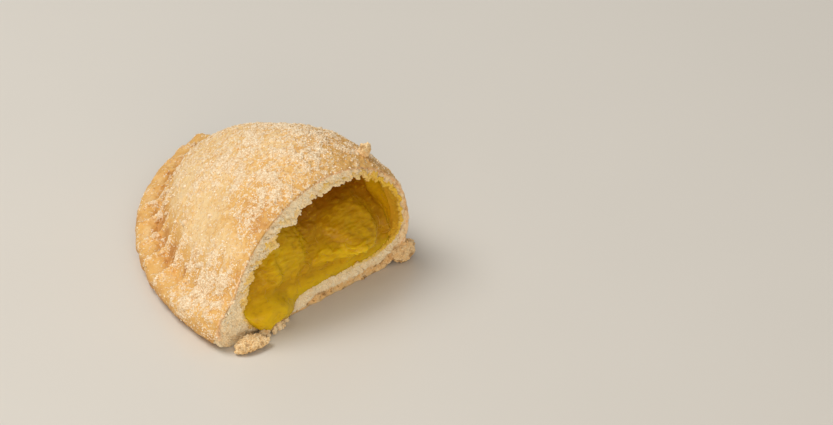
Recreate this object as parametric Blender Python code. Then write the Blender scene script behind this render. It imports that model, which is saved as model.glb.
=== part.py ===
"""Half of a sugared pineapple empanada, cut open across the middle.

The crust is one sheet of dough folded over the filling and crimped along its curved edge, the
filling is pineapple jam with soft chunks, and a flake broken from the rim lies at the cut.
Metres, +Z up. X runs from the crimped edge to the fold, the cut face looks along -Y, the far
tip is at +Y, and the origin is on the flat base, in the middle.
"""

import math
import random

import bmesh
import bpy
from mathutils import Euler, Vector, noise

MM = 0.001

# The half as a whole.
CUT_WIDTH = 66 * MM
HALF_LENGTH = 73 * MM
CROWN_HEIGHT = 39.9 * MM
X_FOLD = CUT_WIDTH / 2
Y_CUT = -HALF_LENGTH / 2

# Its plan: a crimped edge along a quarter of a superellipse, and a fold that is nearly straight.
SEAL_END = math.radians(85)
SEAL_POWER = 1.075
FOLD_LENGTH = 68 * MM
FOLD_BOW = 2.5 * MM

# Its section, from the crimped lip over the dome to the fold. Where there are two values, the
# first holds at the cut and the second from CHANGE_OVER of the way to the tip.
CHANGE_OVER = 0.3
LIP_WIDTH = (4.2 * MM, 6 * MM)
LIP_THICKNESS = (6 * MM, 4.4 * MM)
LIP_SLOPE = (1.1, 0.25)
LIP_LIFT = 1.0 * MM
LIP_ROUND = 1.7 * MM
LIP_UNDER = 5 * MM
LIP_BLEND = 3 * MM
SIDE_BASE = 4.4 * MM
SIDE_POWER = (2.0, 1.55)
CROWN_PLACE = 0.533
CROWN_FALL = 1.45
FOLD_LEVEL = 0.32
FOLD_ROUND = 9 * MM
# No part of a section is wider than this share of it, so that the narrow tip keeps them all.
LIP_MOST, EDGE_MOST, UNDER_MOST, TURN_MOST = 0.35, 0.2, 0.3, 0.3
LIP_FILLET = 0.06

# The knife pressed the dome down and the fold in along the cut.
PRESS_DOWN = 5.8 * MM
PRESS_IN = 2.0 * MM
PRESS_REACH = 9 * MM

# Fork crimps along the lip: each mark is deepest just behind its ridge and at its inner end.
CRIMPS = 13
CRIMP_DEPTH = 1.4 * MM
CRIMP_SCOOP = 3.6 * MM
CRIMP_SCOOP_AT = 7.4 * MM
CRIMP_SCOOP_WIDTH = 2.3 * MM
CRIMP_FADES = (8.75 * MM, 12.5 * MM)
CRIMP_RIDGE = 0.2
CRIMP_TILT = 0.6
CRIMP_SCALLOP = 0.5 * MM
CRIMP_STRENGTH = (0.5, 1.0)
CRIMP_STRENGTH_CHANGES = (0.1, 0.34)
CRIMP_UNEVEN = 0.3
CRIMP_FULL_SPAN = 18 * MM

# Lumps in the baked surface, which fade out above the flat base.
LUMP_HEIGHT = 0.55 * MM
LUMP_SIZE = 14 * MM
LUMPS_FROM, LUMPS_FULL = 2 * MM, 8 * MM

# Walls round the filling, and the teeth of torn crumb that hang from the roof at the cut.
ROOF_THICKNESS = 2.6 * MM
FOLD_THICKNESS = 2.4 * MM
FLOOR_THICKNESS = 5.4 * MM
SEAL_DEPTH = (8.6 * MM, 12.5 * MM)
CAVITY_LEVEL = 0.26
CAVITY_END = 0.84
CAVITY_LAST = 0.815
CAVITY_CLOSING = 5
ROOF_SEAL_POWER = (1.7, 1.3)
ROOF_FOLD_POWER = 2.25
FLOOR_SEAL_POWER = 4.0
FLOOR_FOLD_POWER = 2.8
MIDDLE_ABOVE_LEVEL = 2 * MM
TEETH_DEPTH = 2.1 * MM
TEETH_ROUND = 7
TEETH_SHARE = 0.35
TEETH_REACH = 2.5 * MM
RIM_ROUGHNESS = 0.55 * MM
RIM_BEHIND = 0.6
RIM_GRAIN = 2.6 * MM

# Where the floor has crumbled away at the cut, and the filling runs into the gap.
NOTCH_FROM_EDGE = 17 * MM
NOTCH_WIDTH = 9 * MM
NOTCH_DEPTH = 4.5 * MM
NOTCH_REACH = 11 * MM
NOTCH_STEEP = 1.6

# The filling's face, which lies deeper towards the hollow under the roof.
FILLING_GAP = 0.4 * MM
FILLING_DEPTH = 1.5 * MM
HOLLOW_DEPTH = 12 * MM
HOLLOW_LEAST = 0.4
HOLLOW_FROM_EDGE = 45 * MM
HOLLOW_WIDTH = 18 * MM
HOLLOW_BELOW, HOLLOW_ABOVE = 9 * MM, 25 * MM
# Each chunk: distance from the crimped edge, height, half width, half height, how far it stands out.
# The last is a dent, which shows the wall at the fold.
CHUNKS = (
    (48 * MM, 15.0 * MM, 9.5 * MM, 7.0 * MM, 4.2 * MM),
    (25 * MM, 18.0 * MM, 9.0 * MM, 8.0 * MM, 1.6 * MM),
    (19 * MM, 12.5 * MM, 4.2 * MM, 4.0 * MM, 1.4 * MM),
    (42 * MM, 11.0 * MM, 9.0 * MM, 2.2 * MM, 1.5 * MM),
    (46 * MM, 9.6 * MM, 2.8 * MM, 2.4 * MM, 1.4 * MM),
    (17 * MM, 4.6 * MM, 8.0 * MM, 4.6 * MM, 3.4 * MM),
    (58 * MM, 13.0 * MM, 4.0 * MM, 4.4 * MM, 2.2 * MM),
    (62 * MM, 15.0 * MM, 5.0 * MM, 12.0 * MM, -3.0 * MM),
)
CHUNK_TOP, CHUNK_FOOT = 0.35, 1.15
CHUNK_BEND = 0.3
CHUNK_GRAIN = 5 * MM
PULP_HEIGHT = 0.45 * MM
PULP_SIZE = 4.5 * MM

# Loose and torn bits at the cut: centre and half sizes.
FLAKE_CENTRE = (-25.8 * MM, Y_CUT - 4.0 * MM, 1.55 * MM)
FLAKE_HALF = (4.6 * MM, 2.2 * MM, 1.7 * MM)
FLAKE_TURN = math.radians(-8)
TORN_CENTRE = (29.6 * MM, Y_CUT + 0.9 * MM, 2.5 * MM)
TORN_HALF = (3.4 * MM, 2.6 * MM, 2.6 * MM)
ROOF_FLAKE_CENTRE = (20.2 * MM, Y_CUT + 4.2 * MM, 33.0 * MM)
ROOF_FLAKE_HALF = (1.5 * MM, 1.1 * MM, 1.9 * MM)
CRUMB_ROUGHNESS = 0.28
CRUMB_GRAIN = 0.9

# The largest clumps of sugar on the dome.
SUGAR_CLUMPS = 84
SUGAR_RADIUS = (0.55 * MM, 0.95 * MM)
SUGAR_SQUASH = (0.7, 1.15)
SUGAR_SUNK = 0.25 * MM
SUGAR_SPACING = 2.6 * MM
SUGAR_PATCH = 13 * MM
SUGAR_THRESHOLD = (-0.5, 0.3)
SUGAR_ALONG = (0.03, 0.9)
SUGAR_ACROSS = (0.12, 0.86)
SUGAR_SEED = 11

# How finely each surface is divided: points round the section, and stations along it. The last
# two columns say which arc of the filling's outline faces each stretch of the outer outline.
STRETCHES = (
    ("under", 2, -0.866 * math.pi, -0.955 * math.pi),
    ("edge", 4, -0.955 * math.pi, -1.025 * math.pi),
    ("lip", 5, -1.025 * math.pi, -1.134 * math.pi),
    ("seal_side", 16, -1.134 * math.pi, -1.5 * math.pi),
    ("fold_side", 17, -1.5 * math.pi, -2 * math.pi),
    ("fold", 5, 0.0, -0.334 * math.pi),
    ("base", 7, -0.334 * math.pi, -0.866 * math.pi),
)
POINTS = {name: count for name, count, _, _ in STRETCHES}
STATIONS_PER_CRIMP = 4
CAP_RINGS = 2
CAP_BULGE = 2 * MM
RIM_RINGS = 3
CAVITY_STATIONS = 9
CAVITY_CROWDING = 1.6
FILLING_STATIONS = 5
FILLING_RINGS = 10
FILLING_END = 0.15
FILLING_CENTRE_AT = 0.1
HALVINGS = 20


def clear_scene():
    """Removes every object of the startup scene."""
    for obj in list(bpy.data.objects):
        bpy.data.objects.remove(obj)


def smooth_step(low, high, value):
    """0 below low, 1 above high, and a smooth rise between them."""
    share = min(1.0, max(0.0, (value - low) / (high - low)))
    return share * share * (3 - 2 * share)


def smooth_max(a, b, reach):
    """The larger of two heights, with a fillet where they are closer than reach."""
    near = max(reach - abs(a - b), 0.0) / reach
    return max(a, b) + near * near * reach / 4


def signed_power(value, power):
    """A power of a number that keeps its sign."""
    return math.copysign(abs(value) ** power, value)


def crimp_mark(b):
    """Depth of the fork marks: 0 on the ridges, near 1 behind each, shallower on, fainter at the cut."""
    number, place = divmod(b * CRIMPS, 1)
    mark = smooth_step(0, CRIMP_RIDGE, place) * (1 - smooth_step(1 - CRIMP_RIDGE, 1, place))
    uneven = 1 - CRIMP_UNEVEN * (0.5 - noise.noise(Vector((number * CRIMP_TILT, 0, 0))))
    faint, full = CRIMP_STRENGTH
    strength = faint + (full - faint) * smooth_step(*CRIMP_STRENGTH_CHANGES, b)
    return mark * (1 - CRIMP_TILT * place) * uneven * strength


def crimp_drop(s, b):
    """How far a fork mark lowers the surface at distance s from the crimped edge."""
    scoop = CRIMP_SCOOP * math.exp(-(((s - CRIMP_SCOOP_AT) / CRIMP_SCOOP_WIDTH) ** 2))
    return (CRIMP_DEPTH + scoop) * (1 - smooth_step(*CRIMP_FADES, s)) * crimp_mark(b)


def seal_point(b):
    """A point of the crimped edge, from the cut at b = 0 to the tip at b = 1."""
    angle = b * SEAL_END
    swell = CRIMP_SCALLOP * (crimp_mark(b) - 0.5)
    x = X_FOLD - (CUT_WIDTH + swell) * math.cos(angle) ** SEAL_POWER
    y = Y_CUT + (HALF_LENGTH + swell) * math.sin(angle) ** SEAL_POWER
    return Vector((x, y, 0))


def fold_point(b):
    """The outermost point of the fold, from the cut at b = 0 to the tip at b = 1."""
    return Vector((X_FOLD - FOLD_BOW * b**3, Y_CUT + FOLD_LENGTH * b, 0))


class Section:
    """The outer and inner outlines at one station, as distances from the crimped edge and heights."""

    def __init__(self, b):
        """Works out the sizes of the section at b, 0 at the cut and 1 at the tip."""
        self.b = b
        self.seal = seal_point(b)
        across = fold_point(b) - self.seal
        self.span = across.length
        self.along = across / self.span
        pressed = math.exp(-HALF_LENGTH * b / PRESS_REACH)
        rise = (CROWN_HEIGHT - SIDE_BASE) * (1 - b * b) ** CROWN_FALL
        self.height = SIDE_BASE + rise - PRESS_DOWN * pressed
        self.outer_span = self.span - PRESS_IN * pressed
        self.foot = min(self.varied(LIP_WIDTH), LIP_MOST * self.span)
        self.crown = self.foot + (self.span - self.foot) * CROWN_PLACE
        self.level = FOLD_LEVEL * self.height

    def varied(self, pair):
        """A size that changes from its value at the cut to its value beyond."""
        return pair[0] + (pair[1] - pair[0]) * smooth_step(0, CHANGE_OVER, self.b)

    def place(self, s, z):
        """The point in space at distance s from the crimped edge and height z."""
        point = self.seal + self.along * s
        point.z = z
        return point

    def centre(self):
        """A distance and a height in the middle of the filling."""
        return self.crown, self.level + MIDDLE_ABOVE_LEVEL

    def top(self, s):
        """Height of the baked surface between the lip and the crown."""
        lip = LIP_LIFT + self.varied(LIP_THICKNESS) + self.varied(LIP_SLOPE) * min(s, self.foot)
        reach = self.crown - self.foot
        share = max((self.crown - s) / reach, 0.0)
        if share < 1:
            power = self.varied(SIDE_POWER)
            dome = SIDE_BASE + (self.height - SIDE_BASE) * (1 - share**power) ** (1 / power)
        else:
            dome = SIDE_BASE - (share - 1) * reach
        drop = crimp_drop(s, self.b) * min(1.0, self.span / CRIMP_FULL_SPAN)
        return smooth_max(lip, dome, LIP_BLEND) - drop

    def beyond_crown(self, angle):
        """A point of the outline from the crown at angle 0 to the fold at a right angle."""
        s = self.crown + (self.outer_span - self.crown) * math.sin(angle)
        return s, self.level + (self.top(self.crown) - self.level) * math.cos(angle)

    def outer(self):
        """The outer outline: under the lip, round its edge, over the dome and the fold, along the base."""
        shares = {name: [i / count for i in range(count)] for name, count in POINTS.items()}
        edge = min(LIP_ROUND, EDGE_MOST * self.span)
        under = min(LIP_UNDER, UNDER_MOST * self.span)
        turn = min(FOLD_ROUND, TURN_MOST * self.span)
        lip_end = self.foot + LIP_FILLET * self.span
        base_end = self.outer_span - turn
        points = [(under + (edge - under) * share, LIP_LIFT * share * share) for share in shares["under"]]
        middle, half = (self.top(edge) + LIP_LIFT) / 2, (self.top(edge) - LIP_LIFT) / 2
        for share in shares["edge"]:
            angle = math.pi * (share - 0.5)
            points.append((edge * (1 - math.cos(angle)), middle + half * math.sin(angle)))
        for share in shares["lip"]:
            s = edge + (lip_end - edge) * share
            points.append((s, self.top(s)))
        for share in shares["seal_side"]:
            s = self.crown - (self.crown - lip_end) * math.cos(math.pi / 2 * share)
            points.append((s, self.top(s)))
        points += [self.beyond_crown(math.pi / 2 * share) for share in shares["fold_side"]]
        for share in shares["fold"]:
            angle = math.pi / 2 * share
            points.append((base_end + turn * math.cos(angle), self.level * (1 - math.sin(angle))))
        points += [(base_end + (under - base_end) * share, 0.0) for share in shares["base"]]
        return points

    def inner(self, angle, inset):
        """A point of the outline round the filling, inset from the crust. Angle 0 is at the fold."""
        across, up = math.cos(angle), math.sin(angle)
        floor = FLOOR_THICKNESS + inset
        roof = max(self.height - ROOF_THICKNESS - inset, floor + MM)
        middle = floor + (roof - floor) * CAVITY_LEVEL
        if across < 0:
            reach = self.crown - self.varied(SEAL_DEPTH) - inset
            powers = self.varied(ROOF_SEAL_POWER), FLOOR_SEAL_POWER
        else:
            reach = self.outer_span - self.crown - FOLD_THICKNESS - inset
            powers = ROOF_FOLD_POWER, FLOOR_FOLD_POWER
        power = 2 / powers[0 if up > 0 else 1]
        tall = roof - middle if up > 0 else middle - floor
        closing = math.sqrt(max(0.0, 1 - (self.b / CAVITY_END) ** CAVITY_CLOSING))
        s = self.crown + signed_power(across, power) * max(reach, MM) * closing
        z = middle + signed_power(up, power) * tall * closing
        beside = (s - NOTCH_FROM_EDGE) / NOTCH_WIDTH
        behind = HALF_LENGTH * self.b / NOTCH_REACH
        low = min(1.0, max(0.0, -up * NOTCH_STEEP))
        return s, z - NOTCH_DEPTH * math.exp(-(beside**4) - behind**2) * low


def inner_angles():
    """For each point of the outer outline, the angle of the inner point that faces it."""
    angles = []
    for _, count, start, end in STRETCHES:
        angles += [start + (end - start) * i / count for i in range(count)]
    return angles


def lumpy(point):
    """A point of the baked surface, moved by its lumps. The base stays flat."""
    grade = smooth_step(LUMPS_FROM, LUMPS_FULL, point.z)
    point.z += LUMP_HEIGHT * grade * noise.noise(point / LUMP_SIZE)
    return point


def crumbled(point):
    """A point of the cut rim, moved behind the knife's plane where crumbs have broken away."""
    grain = noise.noise(Vector((point.x, 0, point.z)) / RIM_GRAIN)
    point.y = Y_CUT + RIM_ROUGHNESS * (RIM_BEHIND + grain)
    return point


def tooth(angle, distance):
    """How far torn crumb hangs into the hollow, at an angle of the cavity and a distance from the cut."""
    up = max(math.sin(angle), 0.0)
    place = Vector((math.cos(angle), up, 0)) * TEETH_ROUND
    height = max(0.0, TEETH_SHARE + noise.noise(place))
    return TEETH_DEPTH * height * min(1.0, 2 * up) * math.exp(-((distance / TEETH_REACH) ** 2))


def cavity_ring(number, inset=0.0):
    """One ring of the cavity's wall, with the teeth that hang from its roof. Ring 0 is at the cut."""
    section = Section(CAVITY_LAST * (number / CAVITY_STATIONS) ** CAVITY_CROWDING)
    middle_s, middle_z = section.centre()
    ring = []
    for angle in inner_angles():
        s, z = section.inner(angle, inset)
        length = math.hypot(s - middle_s, z - middle_z)
        share = tooth(angle, HALF_LENGTH * section.b) / max(length, MM)
        point = section.place(s + (middle_s - s) * share, z + (middle_z - z) * share)
        ring.append(crumbled(point) if number == 0 else point)
    return ring


def tip_cap(tip_ring, tip):
    """Rings that close the far tip, from the innermost outwards."""
    centre = tip.place(tip.span / 2, (LIP_LIFT + tip.height) / 2)
    outward = Vector((-tip.along.y, tip.along.x, 0))
    rings = []
    for i in range(CAP_RINGS, 0, -1):
        angle = math.pi / 2 * i / (CAP_RINGS + 1)
        bulge = outward * CAP_BULGE * math.sin(angle)
        rings.append([centre + (point - centre) * math.cos(angle) + bulge for point in tip_ring])
    return rings


def crust_rings():
    """Rings of points from the far tip over the outside, across the cut rim and into the cavity."""
    steps = CRIMPS * STATIONS_PER_CRIMP
    sections = [Section(i / steps) for i in range(steps, -1, -1)]
    rings = [[lumpy(section.place(s, z)) for s, z in section.outer()] for section in sections]
    rings = tip_cap(rings[0], sections[0]) + rings
    outer, inner = rings[-1], cavity_ring(0)
    for k in range(1, RIM_RINGS + 1):
        share = k / (RIM_RINGS + 1)
        rings.append([crumbled(p.lerp(q, share)) for p, q in zip(outer, inner)])
    return rings + [inner] + [cavity_ring(k) for k in range(1, CAVITY_STATIONS + 1)]


def skin(rings):
    """A closed mesh over rings that all have the same number of points."""
    mesh = bmesh.new()
    rows = [[mesh.verts.new(p) for p in ring] for ring in rings]
    count = len(rows[0])
    for first, second in zip(rows, rows[1:]):
        for i in range(count):
            j = (i + 1) % count
            mesh.faces.new((first[i], first[j], second[j]))
            mesh.faces.new((first[i], second[j], second[i]))
    for row in (rows[0], rows[-1]):
        pole = mesh.verts.new(sum((v.co for v in row), Vector()) / count)
        for i in range(count):
            mesh.faces.new((row[i], row[(i + 1) % count], pole))
    bmesh.ops.recalc_face_normals(mesh, faces=mesh.faces)
    return mesh


def filling_depth(x, z):
    """How far the filling's face lies behind the knife's plane: chunks stand out, the hollow is deep."""
    from_edge = x + CUT_WIDTH / 2
    beside = (from_edge - HOLLOW_FROM_EDGE) / HOLLOW_WIDTH
    across = HOLLOW_LEAST + (1 - HOLLOW_LEAST) * math.exp(-(beside**2))
    hollow = smooth_step(HOLLOW_BELOW, HOLLOW_ABOVE, z) * across
    depth = FILLING_DEPTH + HOLLOW_DEPTH * hollow
    bend = 1 + CHUNK_BEND * noise.noise(Vector((x, CHUNK_GRAIN, z)) / CHUNK_GRAIN)
    for place, height, half_width, half_height, stand in CHUNKS:
        away = bend * math.hypot((from_edge - place) / half_width, (z - height) / half_height)
        depth -= stand * (1 - smooth_step(CHUNK_TOP, CHUNK_FOOT, away))
    return depth - PULP_HEIGHT * noise.noise(Vector((x, 0, z)) / PULP_SIZE)


def wall_point(line, place):
    """A point of a line of the cavity's wall, at a place counted in stations from the cut."""
    number = min(int(place), len(line) - 2)
    return line[number].lerp(line[number + 1], place - number)


def face_place(line):
    """Where a line of the cavity's wall meets the filling's face, counted in stations from the cut."""
    low, high = 0.0, float(len(line) - 1)
    for _ in range(HALVINGS):
        middle = (low + high) / 2
        point = wall_point(line, middle)
        if point.y - Y_CUT < max(filling_depth(point.x, point.z), FILLING_GAP):
            low = middle
        else:
            high = middle
    return high


def filling_rings():
    """Rings of points from the middle of the filling's face to its back."""
    stations = [cavity_ring(k, FILLING_GAP) for k in range(CAVITY_STATIONS + 1)]
    lines = list(zip(*stations))
    fronts = [face_place(line) for line in lines]
    last = CAVITY_STATIONS - FILLING_END
    rings = []
    for k in range(FILLING_STATIONS + 1):
        share = k / FILLING_STATIONS
        rings.append([wall_point(line, last + (front - last) * share) for line, front in zip(lines, fronts)])
    face = rings[-1]
    near_cut = Section(FILLING_CENTRE_AT)
    centre = near_cut.place(*near_cut.centre())
    for k in range(1, FILLING_RINGS):
        ring = []
        for point in face:
            moved = point.lerp(centre, k / FILLING_RINGS)
            moved.y = Y_CUT + filling_depth(moved.x, moved.z)
            ring.append(moved)
        rings.append(ring)
    return rings[::-1]


def crumb(centre, half, turn=0.0, fineness=2):
    """A rough lump of crumb with the given centre and half sizes, no lower than the base."""
    mesh = bmesh.new()
    bmesh.ops.create_icosphere(mesh, subdivisions=fineness, radius=1.0)
    spin = Euler((0, 0, turn)).to_matrix()
    for vert in mesh.verts:
        rough = 1 + CRUMB_ROUGHNESS * noise.noise(vert.co / CRUMB_GRAIN + Vector(centre) / MM)
        shaped = Vector([c * h * rough for c, h in zip(vert.co, half)])
        vert.co = Vector(centre) + spin @ shaped
        vert.co.z = max(vert.co.z, 0.0)
    return mesh


def sugar_places(draw):
    """Where the largest sugar clumps sit: scattered on the dome, thicker in patches, never touching."""
    places = []
    while len(places) < SUGAR_CLUMPS:
        section = Section(draw.uniform(*SUGAR_ALONG))
        s = draw.uniform(*SUGAR_ACROSS) * section.span
        if s < section.crown:
            point = section.place(s, section.top(s))
        else:
            angle = math.asin((s - section.crown) / (section.outer_span - section.crown))
            point = section.place(*section.beyond_crown(angle))
        point = lumpy(point)
        in_patch = noise.noise(point / SUGAR_PATCH) > draw.uniform(*SUGAR_THRESHOLD)
        if in_patch and all((point - other).length > SUGAR_SPACING for other in places):
            places.append(point)
    return places


def sugar_clump(point, draw):
    """One angular clump of sugar, partly sunk in the crust."""
    mesh = bmesh.new()
    bmesh.ops.create_icosphere(mesh, subdivisions=1, radius=draw.uniform(*SUGAR_RADIUS))
    turn = Euler([draw.uniform(0, math.tau) for _ in range(3)]).to_matrix()
    squash = [draw.uniform(*SUGAR_SQUASH) for _ in range(3)]
    for vert in mesh.verts:
        vert.co = turn @ Vector([c * q for c, q in zip(vert.co, squash)])
        vert.co += point - Vector((0, 0, SUGAR_SUNK))
    return mesh


def make_object(name, mesh, material, collection):
    """An object from a bmesh, with its material, in a collection."""
    data = bpy.data.meshes.new(name)
    mesh.to_mesh(data)
    mesh.free()
    data.materials.append(material)
    obj = bpy.data.objects.new(name, data)
    collection.objects.link(obj)
    return obj


def make_material(name, colour, roughness):
    """A Principled BSDF of one colour and roughness."""
    material = bpy.data.materials.new(name)
    material.use_nodes = True
    shader = material.node_tree.nodes["Principled BSDF"]
    shader.inputs["Base Color"].default_value = (*colour, 1.0)
    shader.inputs["Roughness"].default_value = roughness
    shader.inputs["Metallic"].default_value = 0.0
    return material


def fuse(obj, helpers):
    """Joins a collection of solids to the object, and removes them."""
    union = obj.modifiers.new("fused_bits", "BOOLEAN")
    union.operation = "UNION"
    union.solver = "MANIFOLD"
    union.operand_type = "COLLECTION"
    union.collection = helpers
    graph = bpy.context.evaluated_depsgraph_get()
    fused = bpy.data.meshes.new_from_object(obj.evaluated_get(graph))
    obj.modifiers.clear()
    obj.data = fused
    for helper in list(helpers.objects):
        bpy.data.objects.remove(helper)
    bpy.data.collections.remove(helpers)


def make_crust(collection):
    """The crust, with its torn bit, the flake on its roof and the largest sugar clumps fused on."""
    baked = make_material("baked_crust", (0.78, 0.50, 0.24), 0.75)
    crust = make_object("crust", skin(crust_rings()), baked, collection)
    bits = bpy.data.collections.new("bits")
    collection.children.link(bits)
    make_object("torn_bit", crumb(TORN_CENTRE, TORN_HALF), baked, bits)
    make_object("roof_flake", crumb(ROOF_FLAKE_CENTRE, ROOF_FLAKE_HALF, fineness=1), baked, bits)
    draw = random.Random(SUGAR_SEED)
    for number, point in enumerate(sugar_places(draw)):
        make_object(f"sugar_{number}", sugar_clump(point, draw), baked, bits)
    fuse(crust, bits)
    crust.data.shade_smooth()
    crust.data.set_sharp_from_angle(angle=math.radians(40))


def make_filling(collection):
    """The pineapple filling, behind the cut rim and clear of the crust."""
    jam = make_material("pineapple_filling", (0.46, 0.24, 0.01), 0.2)
    filling = make_object("filling", skin(filling_rings()), jam, collection)
    filling.data.shade_smooth()


def make_flake(collection):
    """The flake of crust that lies before the crimped end of the cut."""
    crumbly = make_material("crumb", (0.70, 0.48, 0.24), 0.85)
    make_object("crust_flake", crumb(FLAKE_CENTRE, FLAKE_HALF, FLAKE_TURN), crumbly, collection)


def main():
    """Builds the half empanada."""
    clear_scene()
    collection = bpy.context.scene.collection
    make_crust(collection)
    make_filling(collection)
    make_flake(collection)


main()
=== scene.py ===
"""Looks of the half pineapple empanada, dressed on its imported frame.

The crust's baked skin, its crumb at the cut, the sugar on it, the pineapple jam with its chunks and
fibres, and the flakes broken from the rim are each built here from the form that the solids have.
Metres, +Z up. X runs from the crimped edge to the fold, and the cut face looks along -Y.
"""

from __future__ import annotations

import logging
import math
import random
from dataclasses import dataclass, field
from enum import Enum

import bmesh
import bpy
import numpy as np
from mathutils import Euler, Matrix, Vector, noise


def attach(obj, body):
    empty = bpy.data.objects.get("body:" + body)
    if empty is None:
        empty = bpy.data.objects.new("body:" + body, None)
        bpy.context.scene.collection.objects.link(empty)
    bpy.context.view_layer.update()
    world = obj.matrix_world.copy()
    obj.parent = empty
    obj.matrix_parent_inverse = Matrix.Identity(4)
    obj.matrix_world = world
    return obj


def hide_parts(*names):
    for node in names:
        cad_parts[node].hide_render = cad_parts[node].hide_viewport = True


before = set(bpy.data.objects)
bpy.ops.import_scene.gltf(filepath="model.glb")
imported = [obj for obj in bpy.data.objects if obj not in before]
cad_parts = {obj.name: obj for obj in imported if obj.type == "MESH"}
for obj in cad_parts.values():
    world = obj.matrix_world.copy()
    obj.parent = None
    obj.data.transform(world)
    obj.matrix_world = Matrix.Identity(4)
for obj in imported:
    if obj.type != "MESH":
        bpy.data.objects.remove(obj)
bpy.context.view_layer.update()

LOG = logging.getLogger("empanada")
MM = 0.001
BODY = "root"
QUARTER = math.pi / 2

Array = np.ndarray
Pair = tuple[float, float]
Triple = tuple[float, float, float]
Piece = bpy.types.Object
Material = bpy.types.Material
Socket = bpy.types.NodeSocket
Input = float | tuple | str | Socket | bpy.types.ID


class Slot(Enum):
    """The record's material slots."""

    CRUST = "baked_crust"
    FILLING = "pineapple_filling"
    CRUMB = "crumb"


# ---------------------------------------------------------------- numbers


def smooth_step(low: float, high: float, value: float) -> float:
    """0 below low, 1 above high, and a smooth rise between them."""
    share = min(1.0, max(0.0, (value - low) / (high - low)))
    return share * share * (3 - 2 * share)


def smooth_steps(low: float, high: float, values: Array) -> Array:
    """The smooth step of each number of an array."""
    share = np.clip((values - low) / (high - low), 0.0, 1.0)
    return share * share * (3 - 2 * share)


def falls(low: float, high: float, values: Array) -> Array:
    """1 below low, 0 above high, and a smooth fall between them."""
    return 1 - smooth_steps(low, high, values)


def bell(values: Array, middle: float, width: float) -> Array:
    """1 at the middle, and close to 0 two widths from it."""
    return np.exp(-(((values - middle) / width) ** 2))


def smooth_max(a: float, b: float, reach: float) -> float:
    """The larger of two heights, with a fillet where they are closer than reach."""
    near = max(reach - abs(a - b), 0.0) / reach
    return max(a, b) + near * near * reach / 4


def signed_power(value: float, power: float) -> float:
    """A power of a number that keeps its sign."""
    return math.copysign(abs(value) ** power, value)


def lumps(points: Array, size: float, seed: float = 0.0) -> Array:
    """Smooth noise of about -1 to 1 at each point, its lumps a size apart, moved by the seed."""
    return np.array([noise.noise(place) for place in (points / size + seed).tolist()])


def pebbles(points: Array, size: float, seed: float = 0.0, steep: float = 1.6) -> Array:
    """Rounded grains of a size, moved by the seed: 1 at the middle of each, 0 in the gaps."""
    gaps = [noise.voronoi(place)[0] for place in (points / size + seed).tolist()]
    return np.array([min(1.0, steep * (second - first)) for first, second, *_ in gaps])


def upright(x: Array, z: Array, y: float = 0.0) -> Array:
    """Points of one plane that stands across Y, one row each."""
    return np.stack([x, np.full_like(x, y), z], axis=-1).reshape(-1, 3)


def linear(red: int, green: int, blue: int) -> Triple:
    """A colour as light, from its 8-bit sRGB numbers."""
    shares = [c / 255 for c in (red, green, blue)]
    return tuple(s / 12.92 if s <= 0.04045 else ((s + 0.055) / 1.055) ** 2.4 for s in shares)


@dataclass(frozen=True)
class Relief:
    """A layer of relief: its height, the size of its lumps or grains, and a seed that moves them."""

    height: float
    size: float
    seed: float = 0.0

    def noise(self, points: Array) -> Array:
        """The layer's smooth noise of about -1 to 1 at each point."""
        return lumps(points, self.size, self.seed)

    def lumps(self, points: Array) -> Array:
        """How high its smooth lumps stand at each point."""
        return self.height * self.noise(points)

    def pebbles(self, points: Array) -> Array:
        """The layer's rounded grains of 0 to 1 at each point."""
        return pebbles(points, self.size, self.seed)

    def grains(self, points: Array, level: float) -> Array:
        """How high its rounded grains stand at each point, counted from their level."""
        return self.height * (self.pebbles(points) - level)


# ---------------------------------------------------------------- form of the half


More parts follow.
